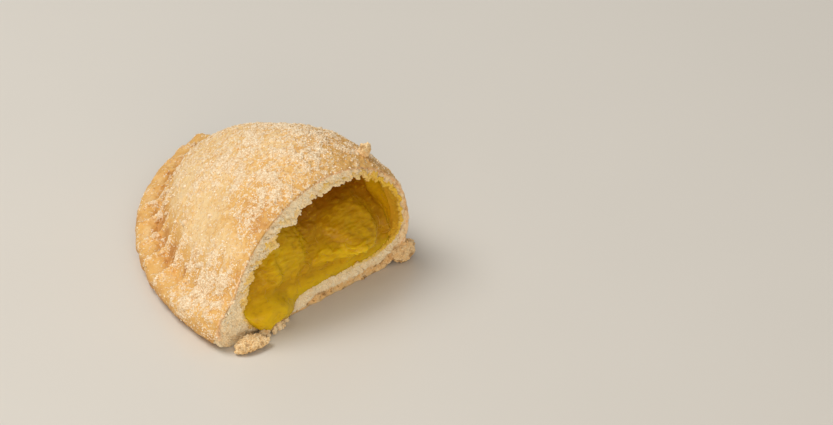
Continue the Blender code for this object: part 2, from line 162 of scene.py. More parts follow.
@dataclass(frozen=True)
class Turnover:
    """Form of the half, as its solids have it. Of a pair, the first holds at the cut."""

    cut_width: float = 66 * MM
    half_length: float = 73 * MM
    crown_height: float = 39.9 * MM
    seal_end: float = math.radians(85)
    seal_power: float = 1.075
    fold_length: float = 68 * MM
    fold_bow: float = 2.5 * MM
    change_over: float = 0.3
    lip_width: Pair = (4.2 * MM, 6 * MM)
    lip_thickness: Pair = (6 * MM, 4.4 * MM)
    lip_slope: Pair = (1.1, 0.25)
    lip_lift: float = 1.0 * MM
    lip_round: float = 1.7 * MM
    lip_under: float = 5 * MM
    lip_blend: float = 3 * MM
    lip_fillet: float = 0.06
    most_of_span: tuple[float, float, float, float] = (0.35, 0.2, 0.3, 0.3)
    side_base: float = 4.4 * MM
    side_power: Pair = (2.0, 1.55)
    crown_place: float = 0.533
    crown_fall: float = 1.45
    fold_level: float = 0.32
    fold_round: float = 9 * MM
    press_down: float = 5.8 * MM
    press_in: float = 2.0 * MM
    press_reach: float = 9 * MM
    crimps: int = 13
    crimp_depth: float = 1.4 * MM
    crimp_scoop: float = 3.6 * MM
    crimp_scoop_at: float = 7.4 * MM
    crimp_scoop_width: float = 2.3 * MM
    crimp_fades: Pair = (8.75 * MM, 12.5 * MM)
    crimp_ridge: float = 0.2
    crimp_tilt: float = 0.6
    crimp_scallop: float = 0.5 * MM
    crimp_strength: Pair = (0.5, 1.0)
    crimp_strength_changes: Pair = (0.1, 0.34)
    crimp_uneven: float = 0.3
    crimp_full_span: float = 18 * MM
    lump_height: float = 0.55 * MM
    lump_size: float = 14 * MM
    lump_fades: Pair = (2 * MM, 8 * MM)
    roof_thickness: float = 2.6 * MM
    fold_thickness: float = 2.4 * MM
    floor_thickness: float = 5.4 * MM
    seal_depth: Pair = (8.6 * MM, 12.5 * MM)
    cavity_level: float = 0.26
    cavity_end: float = 0.84
    cavity_last: float = 0.815
    cavity_closing: float = 5
    cavity_crowding: float = 1.6
    roof_seal_power: Pair = (1.7, 1.3)
    roof_fold_power: float = 2.25
    floor_seal_power: float = 4.0
    floor_fold_power: float = 2.8
    middle_above_level: float = 2 * MM
    teeth_depth: float = 2.1 * MM
    teeth_round: float = 7
    teeth_share: float = 0.35
    teeth_reach: float = 2.5 * MM
    notch_from_edge: float = 17 * MM
    notch_width: float = 9 * MM
    notch_depth: float = 4.5 * MM
    notch_reach: float = 11 * MM
    notch_steep: float = 1.6

    @property
    def x_fold(self) -> float:
        """Where the fold is at the cut."""
        return self.cut_width / 2

    @property
    def y_cut(self) -> float:
        """The knife's plane."""
        return -self.half_length / 2

    def crimp_mark(self, b: float) -> float:
        """Depth of the fork marks: 0 on the ridges, near 1 behind each, shallower further on.

        Args:
            b: Place along the crimped edge, 0 at the cut and 1 at the tip.

        Returns:
            The share of the full depth.
        """
        number, place = divmod(b * self.crimps, 1)
        ridge = self.crimp_ridge
        mark = smooth_step(0, ridge, place) * (1 - smooth_step(1 - ridge, 1, place))
        grain = noise.noise(Vector((number * self.crimp_tilt, 0, 0)))
        uneven = 1 - self.crimp_uneven * (0.5 - grain)
        faint, full = self.crimp_strength
        strength = faint + (full - faint) * smooth_step(*self.crimp_strength_changes, b)
        return mark * (1 - self.crimp_tilt * place) * uneven * strength

    def seal_point(self, b: float) -> Vector:
        """A point of the crimped edge.

        Args:
            b: Place along it, 0 at the cut and 1 at the tip.

        Returns:
            The point, on the base.
        """
        angle = b * self.seal_end
        swell = self.crimp_scallop * (self.crimp_mark(b) - 0.5)
        x = self.x_fold - (self.cut_width + swell) * math.cos(angle) ** self.seal_power
        y = self.y_cut + (self.half_length + swell) * math.sin(angle) ** self.seal_power
        return Vector((x, y, 0))

    def fold_point(self, b: float) -> Vector:
        """The outermost point of the fold, from the cut at b = 0 to the tip at b = 1."""
        return Vector((self.x_fold - self.fold_bow * b**3, self.y_cut + self.fold_length * b, 0))

    def lumpy(self, point: Vector) -> Vector:
        """Moves a point of the baked surface by its large lumps. The base stays flat.

        Args:
            point: The point, which is changed.

        Returns:
            The same point.
        """
        grade = smooth_step(*self.lump_fades, point.z)
        point.z += self.lump_height * grade * noise.noise(point / self.lump_size)
        return point


# Points round the section in each stretch of its outline, at the coarsest, and the arc of the
# filling's outline that faces the stretch.
STRETCHES = (
    ("under", 2, -0.866 * math.pi, -0.955 * math.pi),
    ("edge", 4, -0.955 * math.pi, -1.025 * math.pi),
    ("lip", 5, -1.025 * math.pi, -1.134 * math.pi),
    ("seal_side", 16, -1.134 * math.pi, -1.5 * math.pi),
    ("fold_side", 17, -1.5 * math.pi, -2 * math.pi),
    ("fold", 5, 0.0, -0.334 * math.pi),
    ("base", 7, -0.334 * math.pi, -0.866 * math.pi),
)


def inner_angles(fineness: int) -> list[float]:
    """The angle of the inner point that faces each point of the outer outline.

    Args:
        fineness: How many times more points there are than at the coarsest.

    Returns:
        The angles, in the outer outline's order.
    """
    angles = []
    for _, count, start, end in STRETCHES:
        steps = count * fineness
        angles += [start + (end - start) * i / steps for i in range(steps)]
    return angles


@dataclass
class Section:
    """The outer and inner outlines at one station, as distances from the crimped edge and heights."""

    form: Turnover
    b: float

    def __post_init__(self) -> None:
        """Works out the sizes of the section, at 0 for the cut and 1 for the tip."""
        form = self.form
        self.seal = form.seal_point(self.b)
        across = form.fold_point(self.b) - self.seal
        self.span = across.length
        self.along = across / self.span
        pressed = math.exp(-form.half_length * self.b / form.press_reach)
        rise = (form.crown_height - form.side_base) * (1 - self.b * self.b) ** form.crown_fall
        self.height = form.side_base + rise - form.press_down * pressed
        self.outer_span = self.span - form.press_in * pressed
        self.foot = min(self.varied(form.lip_width), form.most_of_span[0] * self.span)
        self.crown = self.foot + (self.span - self.foot) * form.crown_place
        self.level = form.fold_level * self.height
        self.mark = form.crimp_mark(self.b) * min(1.0, self.span / form.crimp_full_span)
        self.lip_base = form.lip_lift + self.varied(form.lip_thickness)
        self.slope = self.varied(form.lip_slope)
        self.power = self.varied(form.side_power)

    def varied(self, pair: Pair) -> float:
        """A size that changes from its value at the cut to its value beyond."""
        return pair[0] + (pair[1] - pair[0]) * smooth_step(0, self.form.change_over, self.b)

    def place(self, s: float, z: float) -> Vector:
        """A point of the section in space.

        Args:
            s: Distance from the crimped edge.
            z: Height.

        Returns:
            The point.
        """
        point = self.seal + self.along * s
        point.z = z
        return point

    def centre(self) -> Pair:
        """A distance and a height in the middle of the filling."""
        return self.crown, self.level + self.form.middle_above_level

    def top(self, s: float) -> float:
        """Height of the baked surface between the lip and the crown.

        Args:
            s: Distance from the crimped edge.

        Returns:
            The height there.
        """
        form = self.form
        lip = self.lip_base + self.slope * min(s, self.foot)
        reach = self.crown - self.foot
        share = max((self.crown - s) / reach, 0.0)
        if share < 1:
            rise = (1 - share**self.power) ** (1 / self.power)
            dome = form.side_base + (self.height - form.side_base) * rise
        else:
            dome = form.side_base - (share - 1) * reach
        away = (s - form.crimp_scoop_at) / form.crimp_scoop_width
        drop = form.crimp_depth + form.crimp_scoop * math.exp(-(away**2))
        drop *= (1 - smooth_step(*form.crimp_fades, s)) * self.mark
        return smooth_max(lip, dome, form.lip_blend) - drop

    def beyond_crown(self, angle: float) -> Pair:
        """A point of the outline from the crown at angle 0 to the fold at a right angle."""
        s = self.crown + (self.outer_span - self.crown) * math.sin(angle)
        return s, self.level + (self.top(self.crown) - self.level) * math.cos(angle)

    def outer(self, fineness: int) -> list[Pair]:
        """The outer outline: under the lip, round its edge, over dome and fold, along the base.

        Args:
            fineness: How many times more points there are than at the coarsest.

        Returns:
            A distance and a height for each point.
        """
        form = self.form
        shares = {}
        for name, count, _, _ in STRETCHES:
            shares[name] = [i / (count * fineness) for i in range(count * fineness)]
        edge = min(form.lip_round, form.most_of_span[1] * self.span)
        under = min(form.lip_under, form.most_of_span[2] * self.span)
        turn = min(form.fold_round, form.most_of_span[3] * self.span)
        lip_end = self.foot + form.lip_fillet * self.span
        base_end = self.outer_span - turn
        middle = (self.top(edge) + form.lip_lift) / 2
        half = (self.top(edge) - form.lip_lift) / 2
        points = []
        for share in shares["under"]:
            points.append((under + (edge - under) * share, form.lip_lift * share * share))
        for share in shares["edge"]:
            angle = math.pi * (share - 0.5)
            points.append((edge * (1 - math.cos(angle)), middle + half * math.sin(angle)))
        risen = [edge + (lip_end - edge) * share for share in shares["lip"]]
        risen += [self.crown - (self.crown - lip_end) * math.cos(QUARTER * share) for share in shares["seal_side"]]
        points += [(s, self.top(s)) for s in risen]
        points += [self.beyond_crown(QUARTER * share) for share in shares["fold_side"]]
        for share in shares["fold"]:
            angle = QUARTER * share
            points.append((base_end + turn * math.cos(angle), self.level * (1 - math.sin(angle))))
        return points + [(base_end + (under - base_end) * share, 0.0) for share in shares["base"]]

    def skin(self, outline: list[Pair]) -> Array:
        """An outline's points in space, moved by the large lumps."""
        return np.array([self.form.lumpy(self.place(s, z))[:] for s, z in outline])

    def inner(self, angle: float, inset: float = 0.0) -> Pair:
        """A point of the outline round the filling.

        Args:
            angle: Its angle, 0 at the fold.
            inset: How far the outline is drawn in from the crust.

        Returns:
            Its distance and height.
        """
        form = self.form
        across, up = math.cos(angle), math.sin(angle)
        floor = form.floor_thickness + inset
        roof = max(self.height - form.roof_thickness - inset, floor + MM)
        middle = floor + (roof - floor) * form.cavity_level
        if across < 0:
            reach = self.crown - self.varied(form.seal_depth) - inset
            powers = self.varied(form.roof_seal_power), form.floor_seal_power
        else:
            reach = self.outer_span - self.crown - form.fold_thickness - inset
            powers = form.roof_fold_power, form.floor_fold_power
        power = 2 / powers[0 if up > 0 else 1]
        tall = roof - middle if up > 0 else middle - floor
        closing = math.sqrt(max(0.0, 1 - (self.b / form.cavity_end) ** form.cavity_closing))
        s = self.crown + signed_power(across, power) * max(reach, MM) * closing
        z = middle + signed_power(up, power) * tall * closing
        beside = (s - form.notch_from_edge) / form.notch_width
        behind = form.half_length * self.b / form.notch_reach
        low = min(1.0, max(0.0, -up * form.notch_steep))
        return s, z - form.notch_depth * math.exp(-(beside**4) - behind**2) * low


@dataclass
class Cavity:
    """The wall of the hollow round the filling, with the teeth that hang from its roof at the cut."""

    form: Turnover
    fineness: int
    inset: float = 0.0

    def tooth(self, angle: float, distance: float) -> float:
        """How far torn crumb hangs into the hollow.

        Args:
            angle: Where, 0 at the fold.
            distance: How far behind the cut.

        Returns:
            Its depth.
        """
        form = self.form
        up = max(math.sin(angle), 0.0)
        place = Vector((math.cos(angle), up, 0)) * form.teeth_round
        height = max(0.0, form.teeth_share + noise.noise(place))
        fall = math.exp(-((distance / form.teeth_reach) ** 2))
        return form.teeth_depth * height * min(1.0, 2 * up) * fall

    def ring(self, b: float) -> Array:
        """One ring of the wall.

        Args:
            b: Its place, 0 at the cut and 1 at the tip.

        Returns:
            Its points.
        """
        section = Section(self.form, b)
        middle_s, middle_z = section.centre()
        ring = []
        for angle in inner_angles(self.fineness):
            s, z = section.inner(angle, self.inset)
            length = math.hypot(s - middle_s, z - middle_z)
            share = self.tooth(angle, self.form.half_length * b) / max(length, MM)
            ring.append(section.place(s + (middle_s - s) * share, z + (middle_z - z) * share)[:])
        return np.array(ring)

    def rings(self, count: int, behind: float = 0.0) -> Array:
        """Rings from the cut to the end of the hollow, closer together near the cut.

        Args:
            count: How many steps apart the first and the last are.
            behind: How far behind the cut the first lies.

        Returns:
            Their points, by ring.
        """
        first = behind / self.form.half_length
        reach = self.form.cavity_last - first
        shares = [(k / count) ** self.form.cavity_crowding for k in range(count + 1)]
        return np.array([self.ring(first + reach * share) for share in shares])


# ---------------------------------------------------------------- meshes


class Surface:
    """A mesh in the making: points, four-sided and three-sided faces, and values at its points."""

    def __init__(self, points: Array, quads: Array, triangles: Array | None = None) -> None:
        """Keeps the points and faces, turned outwards if they enclose a volume.

        Args:
            points: Places, one row each.
            quads: The four-sided faces' corners.
            triangles: The three-sided faces' corners, if there are any.
        """
        self.points = np.asarray(points, dtype=float)
        self.quads = np.asarray(quads, dtype=int).reshape(-1, 4)
        self.triangles = np.zeros((0, 3), int) if triangles is None else np.asarray(triangles, dtype=int)
        self.values: dict[str, Array] = {}
        self.quad_slots = np.zeros(len(self.quads), dtype=int)
        self.triangle_slots = np.zeros(len(self.triangles), dtype=int)
        if self.volume() < 0:
            self.quads = self.quads[:, ::-1]
            self.triangles = self.triangles[:, ::-1]

    @classmethod
    def of_rings(cls, rings: Array, closed: bool = False) -> Surface:
        """A surface over rings of points.

        Args:
            rings: Points, by ring and by place round it.
            closed: True if the last ring joins the first, False if a pole closes each end.

        Returns:
            The surface, whose points are the rings' in order, with the poles last.
        """
        count, around = rings.shape[:2]
        rows = np.arange(count if closed else count - 1)[:, None]
        columns = np.arange(around)[None, :]
        after, beside = (rows + 1) % count, (columns + 1) % around
        corners = (rows, columns), (rows, beside), (after, beside), (after, columns)
        quads = np.stack([(r * around + c) for r, c in corners], axis=-1).reshape(-1, 4)
        points = rings.reshape(-1, 3)
        if closed:
            return cls(points, quads)
        first = [(i, count * around, (i + 1) % around) for i in range(around)]
        last = (count - 1) * around
        end = [(last + i, last + (i + 1) % around, count * around + 1) for i in range(around)]
        poles = [rings[0].mean(axis=0), rings[-1].mean(axis=0)]
        return cls(np.vstack([points, poles]), quads, np.array(first + end))

    @classmethod
    def of_balls(cls, fineness: int, shapes: list[Matrix]) -> Surface:
        """Balls of triangles.

        Args:
            fineness: How finely each is divided.
            shapes: For each ball, the matrix that turns, stretches and places it.

        Returns:
            The balls as one surface.
        """
        mesh = bmesh.new()
        bmesh.ops.create_icosphere(mesh, subdivisions=fineness, radius=1.0)
        ball = np.array([v.co[:] for v in mesh.verts])
        faces = np.array([[v.index for v in face.verts] for face in mesh.faces])
        mesh.free()
        matrices = np.array(shapes)
        points = np.einsum("mij,nj->mni", matrices[:, :3, :3], ball) + matrices[:, None, :3, 3]
        offsets = np.arange(len(shapes))[:, None, None] * len(ball)
        return cls(points.reshape(-1, 3), np.zeros((0, 4)), (faces[None] + offsets).reshape(-1, 3))

    def volume(self) -> float:
        """The enclosed volume, negative if the faces point inwards."""
        halves = np.vstack([self.quads[:, [0, 1, 2]], self.quads[:, [0, 2, 3]], self.triangles])
        a, b, c = np.moveaxis(self.points[halves], 1, 0)
        return float(np.einsum("ij,ij->", a, np.cross(b, c)) / 6)

    def normals(self) -> Array:
        """The direction outwards at each point.

        Returns:
            One row of unit length for each point.
        """
        total = np.zeros_like(self.points)
        for faces, order in ((self.quads, (0, 2, 1, 3)), (self.triangles, (0, 1, 0, 2))):
            if not len(faces):
                continue
            p = [self.points[faces[:, k]] for k in order]
            across = np.cross(p[1] - p[0], p[3] - p[2])
            for column in faces.T:
                for axis in range(3):
                    total[:, axis] += np.bincount(column, across[:, axis], len(total))
        return total / np.maximum(np.linalg.norm(total, axis=1, keepdims=True), 1e-12)

    def push(self, distance: Array) -> None:
        """Moves each point outwards by its distance."""
        self.points += self.normals() * distance[:, None]

    def rest(self, height: float = 0.0) -> None:
        """Lifts what went below a height back on to it."""
        self.points[:, 2] = np.maximum(self.points[:, 2], height)

    def piece(self, name: str, *materials: Material) -> Piece:
        """Makes the object, with its values as attributes and its materials.

        Args:
            name: The piece's name.
            *materials: Its finishes, in the order of the faces' slots.

        Returns:
            The object, in the scene.
        """
        mesh = bpy.data.meshes.new(name)
        sizes = np.concatenate([np.full(len(self.quads), 4), np.full(len(self.triangles), 3)])
        corners = np.concatenate([self.quads.ravel(), self.triangles.ravel()])
        starts = np.concatenate([[0], np.cumsum(sizes)[:-1]])
        slots = np.concatenate([self.quad_slots, self.triangle_slots])
        mesh.vertices.add(len(self.points))
        mesh.vertices.foreach_set("co", self.points.astype(np.float32).ravel())
        mesh.loops.add(len(corners))
        mesh.loops.foreach_set("vertex_index", corners.astype(np.int32))
        mesh.polygons.add(len(sizes))
        mesh.polygons.foreach_set("loop_start", starts.astype(np.int32))
        for material in materials:
            mesh.materials.append(material)
        mesh.update(calc_edges=True)
        mesh.polygons.foreach_set("material_index", slots.astype(np.int32))
        for key, values in self.values.items():
            attribute = mesh.attributes.new(key, "FLOAT", "POINT")
            attribute.data.foreach_set("value", values.astype(np.float32))
        mesh.shade_smooth()
        obj = bpy.data.objects.new(name, mesh)
        bpy.context.scene.collection.objects.link(obj)
        return obj


def tumbled(draw: random.Random, place: Vector, radius: float, squash: Pair) -> Matrix:
    """A ball's matrix, turned and stretched at random.

    Args:
        draw: The random draws.
        place: The ball's middle.
        radius: Its radius.
        squash: The least and the most that it is stretched along each of its axes.

    Returns:
        The matrix.
    """
    turn = Euler([draw.uniform(0, math.tau) for _ in range(3)]).to_matrix().to_4x4()
    stretch = [draw.uniform(*squash) * radius for _ in range(3)]
    return Matrix.Translation(place) @ turn @ Matrix.Diagonal((*stretch, 1))


def dress(obj: Piece, slot: Slot, *nodes: str) -> Piece:
    """Lets a piece ride on the body and hides the solids that it stands for.

    Args:
        obj: The piece.
        slot: The record's slot whose finish it has; not used.
        *nodes: The solids that it replaces.

    Returns:
        The same piece.
    """
    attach(obj, BODY)
    if nodes:
        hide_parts(*nodes)
    LOG.info("%s: %d points, %d faces", obj.name, len(obj.data.vertices), len(obj.data.polygons))
    return obj


# ---------------------------------------------------------------- node trees


class NodeSheet:
    """Adds nodes to one tree and joins them."""

    def __init__(self, tree: bpy.types.NodeTree) -> None:
        """Keeps the tree."""
        self.tree = tree

    def put(self, node: bpy.types.Node, key: str | int, value: Input) -> None:
        """Fills one input of a node.

        Args:
            node: The node.
            key: The input's name or number.
            value: A socket to join to it, or the value to set on it.
        """
        if isinstance(value, Socket):
            self.tree.links.new(value, node.inputs[key])
        else:
            node.inputs[key].default_value = value

    def add(
        self, kind: str, inputs: dict[str | int, Input] | None = None, **settings: object
    ) -> bpy.types.Node:
        """Adds a node.

        Args:
            kind: The node's type.
            inputs: Numbers, colours or sockets for its inputs, by name or number.
            **settings: The node's own settings.

        Returns:
            The node.
        """
        node = self.tree.nodes.new(kind)
        for key, value in settings.items():
            setattr(node, key, value)
        for key, value in (inputs or {}).items():
            self.put(node, key, value)
        return node

    def get(self, kind: str, inputs: dict[str | int, Input] | None = None, **settings: object) -> Socket:
        """The first output of a new node."""
        return self.add(kind, inputs, **settings).outputs[0]

    def plus(self, a: Input, b: Input) -> Socket:
        """The sum of two numbers."""
        return self.get("ShaderNodeMath", {0: a, 1: b}, operation="ADD")

    def times(self, a: Input, b: Input) -> Socket:
        """The product of two numbers."""
        return self.get("ShaderNodeMath", {0: a, 1: b}, operation="MULTIPLY")


class Paint(NodeSheet):
    """A procedural material in the making, whose patterns lie in Object coordinates."""

    def __init__(self, name: str, base: Triple) -> None:
        """Starts a material with a Principled BSDF.

        Args:
            name: The material's name.
            base: The colour that the others are laid on.
        """
        self.material = bpy.data.materials.new(name)
        self.material.use_nodes = True
        super().__init__(self.material.node_tree)
        self.place = self.add("ShaderNodeTexCoord").outputs["Object"]
        self.colour: tuple | Socket = (*base, 1.0)

    def value(self, name: str) -> Socket:
        """A value stored at the mesh's points."""
        return self.add("ShaderNodeAttribute", attribute_name=name).outputs["Fac"]

    def noise(self, size: float, detail: float = 2.0, warp: float = 0.0, drawn_out: float = 1.0) -> Socket:
        """Smooth noise of 0 to 1.

        Args:
            size: How far apart its lumps are.
            detail: How many finer layers it has.
            warp: How much it is distorted.
            drawn_out: How many times longer its lumps are along X.

        Returns:
            The noise.
        """
        scale = 1 / (size * drawn_out), 1 / size, 1 / size
        moved = self.get("ShaderNodeMapping", {"Vector": self.place, "Scale": scale})
        inputs = {"Vector": moved, "Scale": 1.0, "Detail": detail, "Distortion": warp}
        return self.add("ShaderNodeTexNoise", inputs).outputs["Fac"]

    def cells(self, size: float, output: str = "Distance") -> Socket:
        """Distance from the nearest of scattered points, or that point's random colour."""
        return self.add("ShaderNodeTexVoronoi", {"Vector": self.place, "Scale": 1 / size}).outputs[output]

    def step(self, value: Socket, low: float, high: float, least: float = 0.0, most: float = 1.0) -> Socket:
        """A smooth step of a value, from least at low to most at high."""
        inputs = {"Value": value, "From Min": low, "From Max": high, "To Min": least, "To Max": most}
        return self.get("ShaderNodeMapRange", inputs, interpolation_type="SMOOTHSTEP")

    def lay(self, share: Input, colour: Triple) -> None:
        """Lays a colour over what is there, all of it where the share is 1."""
        inputs = {0: share, 6: self.colour, 7: (*colour, 1.0)}
        self.colour = self.add("ShaderNodeMix", inputs, data_type="RGBA").outputs[2]

    def relief(self, *layers: tuple[Socket, float, float]) -> Socket:
        """Layers of fine relief, one on the other.

        Args:
            *layers: The height, depth and strength of each, the lowest first.

        Returns:
            The normal.
        """
        under: dict[str, Input] = {}
        for height, depth, strength in layers:
            inputs = {"Height": height, "Distance": depth, "Strength": strength, **under}
            under = {"Normal": self.get("ShaderNodeBump", inputs)}
        return under["Normal"]

    def finish(self, **inputs: Input) -> Material:
        """Joins the colour and fills the shader's other inputs.

        Args:
            **inputs: Sockets or values, by the inputs' names with _ for a blank.

        Returns:
            The material.
        """
        shader = self.tree.nodes["Principled BSDF"]
        self.put(shader, "Base Color", self.colour)
        for key, value in inputs.items():
            self.put(shader, key.replace("_", " "), value)
        return self.material


class Scatter(NodeSheet):
    """Geometry Nodes that strew small things over a surface as real mesh."""

    def __init__(self, name: str) -> None:
        """Starts a tree that takes a surface and gives what lies on it."""
        super().__init__(bpy.data.node_groups.new(name, "GeometryNodeTree"))
        self.name = name
        self.settings: dict[str, float] = {}
        for way in ("INPUT", "OUTPUT"):
            self.tree.interface.new_socket("Geometry", in_out=way, socket_type="NodeSocketGeometry")
        self.group_input = self.tree.nodes.new("NodeGroupInput")

    def size(self, name: str, value: float) -> Socket:
        """Adds a named input to the tree.

        Args:
            name: Its name.
            value: Its value.

        Returns:
            The input, for the nodes to use.
        """
        socket = self.tree.interface.new_socket(name, in_out="INPUT", socket_type="NodeSocketFloat")
        self.settings[socket.identifier] = value
        return self.group_input.outputs[name]

    def random(self, least: Input, most: Input, seed: int) -> Socket:
        """A random number for each thing."""
        inputs = {2: least, 3: most, "Seed": seed}
        return self.add("FunctionNodeRandomValue", inputs, data_type="FLOAT").outputs[1]

    def random_vector(self, least: Triple, most: Triple, seed: int) -> Socket:
        """A random vector for each thing."""
        inputs = {0: least, 1: most, "Seed": seed}
        return self.get("FunctionNodeRandomValue", inputs, data_type="FLOAT_VECTOR")

    def value(self, name: str) -> Socket:
        """A value stored at the surface's points."""
        return self.get("GeometryNodeInputNamedAttribute", {"Name": name}, data_type="FLOAT")

    def scaled(self, vector: Socket, share: Socket) -> Socket:
        """A vector made longer or shorter."""
        return self.get("ShaderNodeVectorMath", {0: vector, "Scale": share}, operation="SCALE")

    def moved(self, things: Socket, offset: Socket) -> Socket:
        """Things moved by an offset."""
        return self.get("GeometryNodeSetPosition", {"Geometry": things, "Offset": offset})

    def toned(self, things: Socket) -> Socket:
        """Instances that each keep a random tone."""
        inputs = {"Geometry": things, "Name": "tone", "Value": self.random(0.0, 1.0, 4)}
        return self.get("GeometryNodeStoreNamedAttribute", inputs, data_type="FLOAT", domain="INSTANCE")

    def points(self, density: Socket, seed: int) -> bpy.types.Node:
        """Random points on the surface, so many a square metre."""
        inputs = {"Mesh": self.group_input.outputs["Geometry"], "Density": density, "Seed": seed}
        return self.add("GeometryNodeDistributePointsOnFaces", inputs, distribute_method="RANDOM")

    def grow(self, things: Socket, carrier: Piece, material: Material) -> Piece:
        """Ends the tree, applies it to a copy of the carrier and keeps the result as a plain mesh.

        Args:
            things: The instances.
            carrier: The piece whose surface they lie on.
            material: Their finish.

        Returns:
            A new object of the tree's name that holds the things alone.
        """
        real = self.get("GeometryNodeRealizeInstances", {"Geometry": things})
        done = self.get("GeometryNodeSetMaterial", {"Geometry": real, "Material": material})
        self.add("NodeGroupOutput", {"Geometry": done})
        obj = bpy.data.objects.new(self.name, carrier.data.copy())
        bpy.context.scene.collection.objects.link(obj)
        modifier = obj.modifiers.new(self.name, "NODES")
        modifier.node_group = self.tree
        for identifier, value in self.settings.items():
            modifier[identifier] = value
        graph = bpy.context.evaluated_depsgraph_get()
        mesh = bpy.data.meshes.new_from_object(obj.evaluated_get(graph))
        obj.modifiers.clear()
        mesh.name = self.name
        obj.data = mesh
        return obj


# ---------------------------------------------------------------- finishes


@dataclass(frozen=True)
class BakedSkin:
    """Baked shortcrust: tan and matt, browner where it is high or thin, filmed with sugar, painted with shade in
    the crimps' creases.
    """

    pale: Triple = linear(240, 207, 153)
    golden: Triple = linear(226, 177, 102)
    brown: Triple = linear(192, 134, 72)
    mottle: Triple = linear(212, 154, 84)
    film: Triple = linear(240, 219, 187)
    speck: Triple = linear(112, 84, 58)
    patch_sizes: Pair = (7 * MM, 2.2 * MM)
    pore_size: float = 0.7 * MM
    film_size: float = 0.9 * MM
    speck_spacing: float = 3.1 * MM
    grain_sizes: Pair = (0.9 * MM, 0.35 * MM)
    grain_depths: Pair = (0.3 * MM, 0.12 * MM)
    roughness: float = 0.62

    def material(self) -> Material:
        """Builds the finish. It reads the values brown, which carries painted shade in the crimps' creases, sugar
        and smooth.

        Returns:
            The material.
        """
        paint = Paint("baked_skin", self.pale)
        drift = paint.step(paint.noise(self.patch_sizes[0], 3), 0.3, 0.7, -0.14, 0.14)
        fine = paint.step(paint.noise(self.patch_sizes[1], 4), 0.3, 0.7, -0.12, 0.14)
        # The brown value also carries painted shade in the crimps' creases.
        browned = paint.plus(paint.plus(paint.value("brown"), drift), fine)
        paint.lay(paint.step(browned, 0.0, 0.55), self.golden)
        paint.lay(paint.step(browned, 0.5, 1.1), self.brown)
        rough = paint.step(paint.value("smooth"), 0.0, 1.0, 0.8, 0.4)
        pores = paint.step(paint.noise(self.pore_size, 3, warp=0.4), 0.51, 0.65)
        paint.lay(paint.times(pores, rough), self.mottle)
        dust = paint.plus(paint.noise(self.film_size, 5), paint.times(paint.value("sugar"), 0.24))
        paint.lay(paint.step(dust, 0.58, 0.72, 0.0, 0.9), self.film)
        near = paint.step(paint.cells(self.speck_spacing), 0.1, 0.05)
        rare = paint.step(paint.cells(self.speck_spacing, "Color"), 0.8, 0.85)
        paint.lay(paint.times(near, rare), self.speck)
        coarse = paint.noise(self.grain_sizes[0], 4), self.grain_depths[0], 0.9
        fine = paint.noise(self.grain_sizes[1], 3), self.grain_depths[1], 0.9
        relief = paint.relief(coarse, fine)
        return paint.finish(Roughness=self.roughness, Normal=relief, Specular_IOR_Level=0.3)


@dataclass(frozen=True)
class PaleCrumb:
    """The crumb inside the crust where the knife tore it: pale, dry, stained by the jam in places, and painted
    with shade between its grains, in small holes and deep in the hollow.
    """

    pale: Triple = linear(255, 246, 221)
    tan: Triple = linear(246, 220, 176)
    toast: Triple = linear(236, 180, 122)
    brown: Triple = linear(240, 202, 142)
    hole_shade: Triple = linear(160, 114, 66)
    stained: Triple = linear(244, 204, 60)
    soaked_and_shaded: Triple = linear(186, 124, 20)
    tan_size: float = 1.8 * MM
    brown_size: float = 1.1 * MM
    speckle_size: float = 0.8 * MM
    hole_size: float = 1.3 * MM
    grain_sizes: Pair = (0.7 * MM, 0.28 * MM)
    grain_depths: Pair = (0.25 * MM, 0.08 * MM)

    def material(self) -> Material:
        """Builds the finish. It reads the values pit, which is painted shade in the gaps between grains, toast,
        stain and brown.

        Returns:
            The material.
        """
        paint = Paint("pale_crumb", self.pale)
        paint.lay(paint.step(paint.noise(self.tan_size, 4), 0.35, 0.75, 0.0, 0.4), self.tan)
        # Painted shade: tan laid into the gaps between the crumb's grains.
        paint.lay(paint.times(paint.value("pit"), 0.55), self.tan)
        paint.lay(paint.value("toast"), self.toast)
        brown, stain = paint.value("brown"), paint.value("stain")
        patchy = paint.step(paint.noise(self.brown_size, 3), 0.3, 0.6, 0.55, 1.0)
        paint.lay(paint.times(brown, patchy), self.brown)
        paint.lay(paint.step(paint.cells(self.speckle_size, "Color"), 0.5, 0.85, 0.0, 0.3), self.brown)
        # Painted shade: dark spots on the browned floor band stand for the shade in small holes.
        shaded_holes = paint.times(brown, paint.step(paint.noise(self.hole_size, 3), 0.54, 0.64))
        paint.lay(paint.times(shaded_holes, 0.7), self.hole_shade)
        paint.lay(paint.step(stain, 0.0, 0.6), self.stained)
        # Painted shade deep in the hollow, over crumb soaked with jam.
        paint.lay(paint.step(stain, 0.7, 1.0), self.soaked_and_shaded)
        coarse = paint.noise(self.grain_sizes[0], 4), self.grain_depths[0], 0.9
        fine = paint.noise(self.grain_sizes[1], 3), self.grain_depths[1], 0.8
        relief = paint.relief(coarse, fine)
        return paint.finish(Roughness=0.9, Normal=relief, Specular_IOR_Level=0.2)


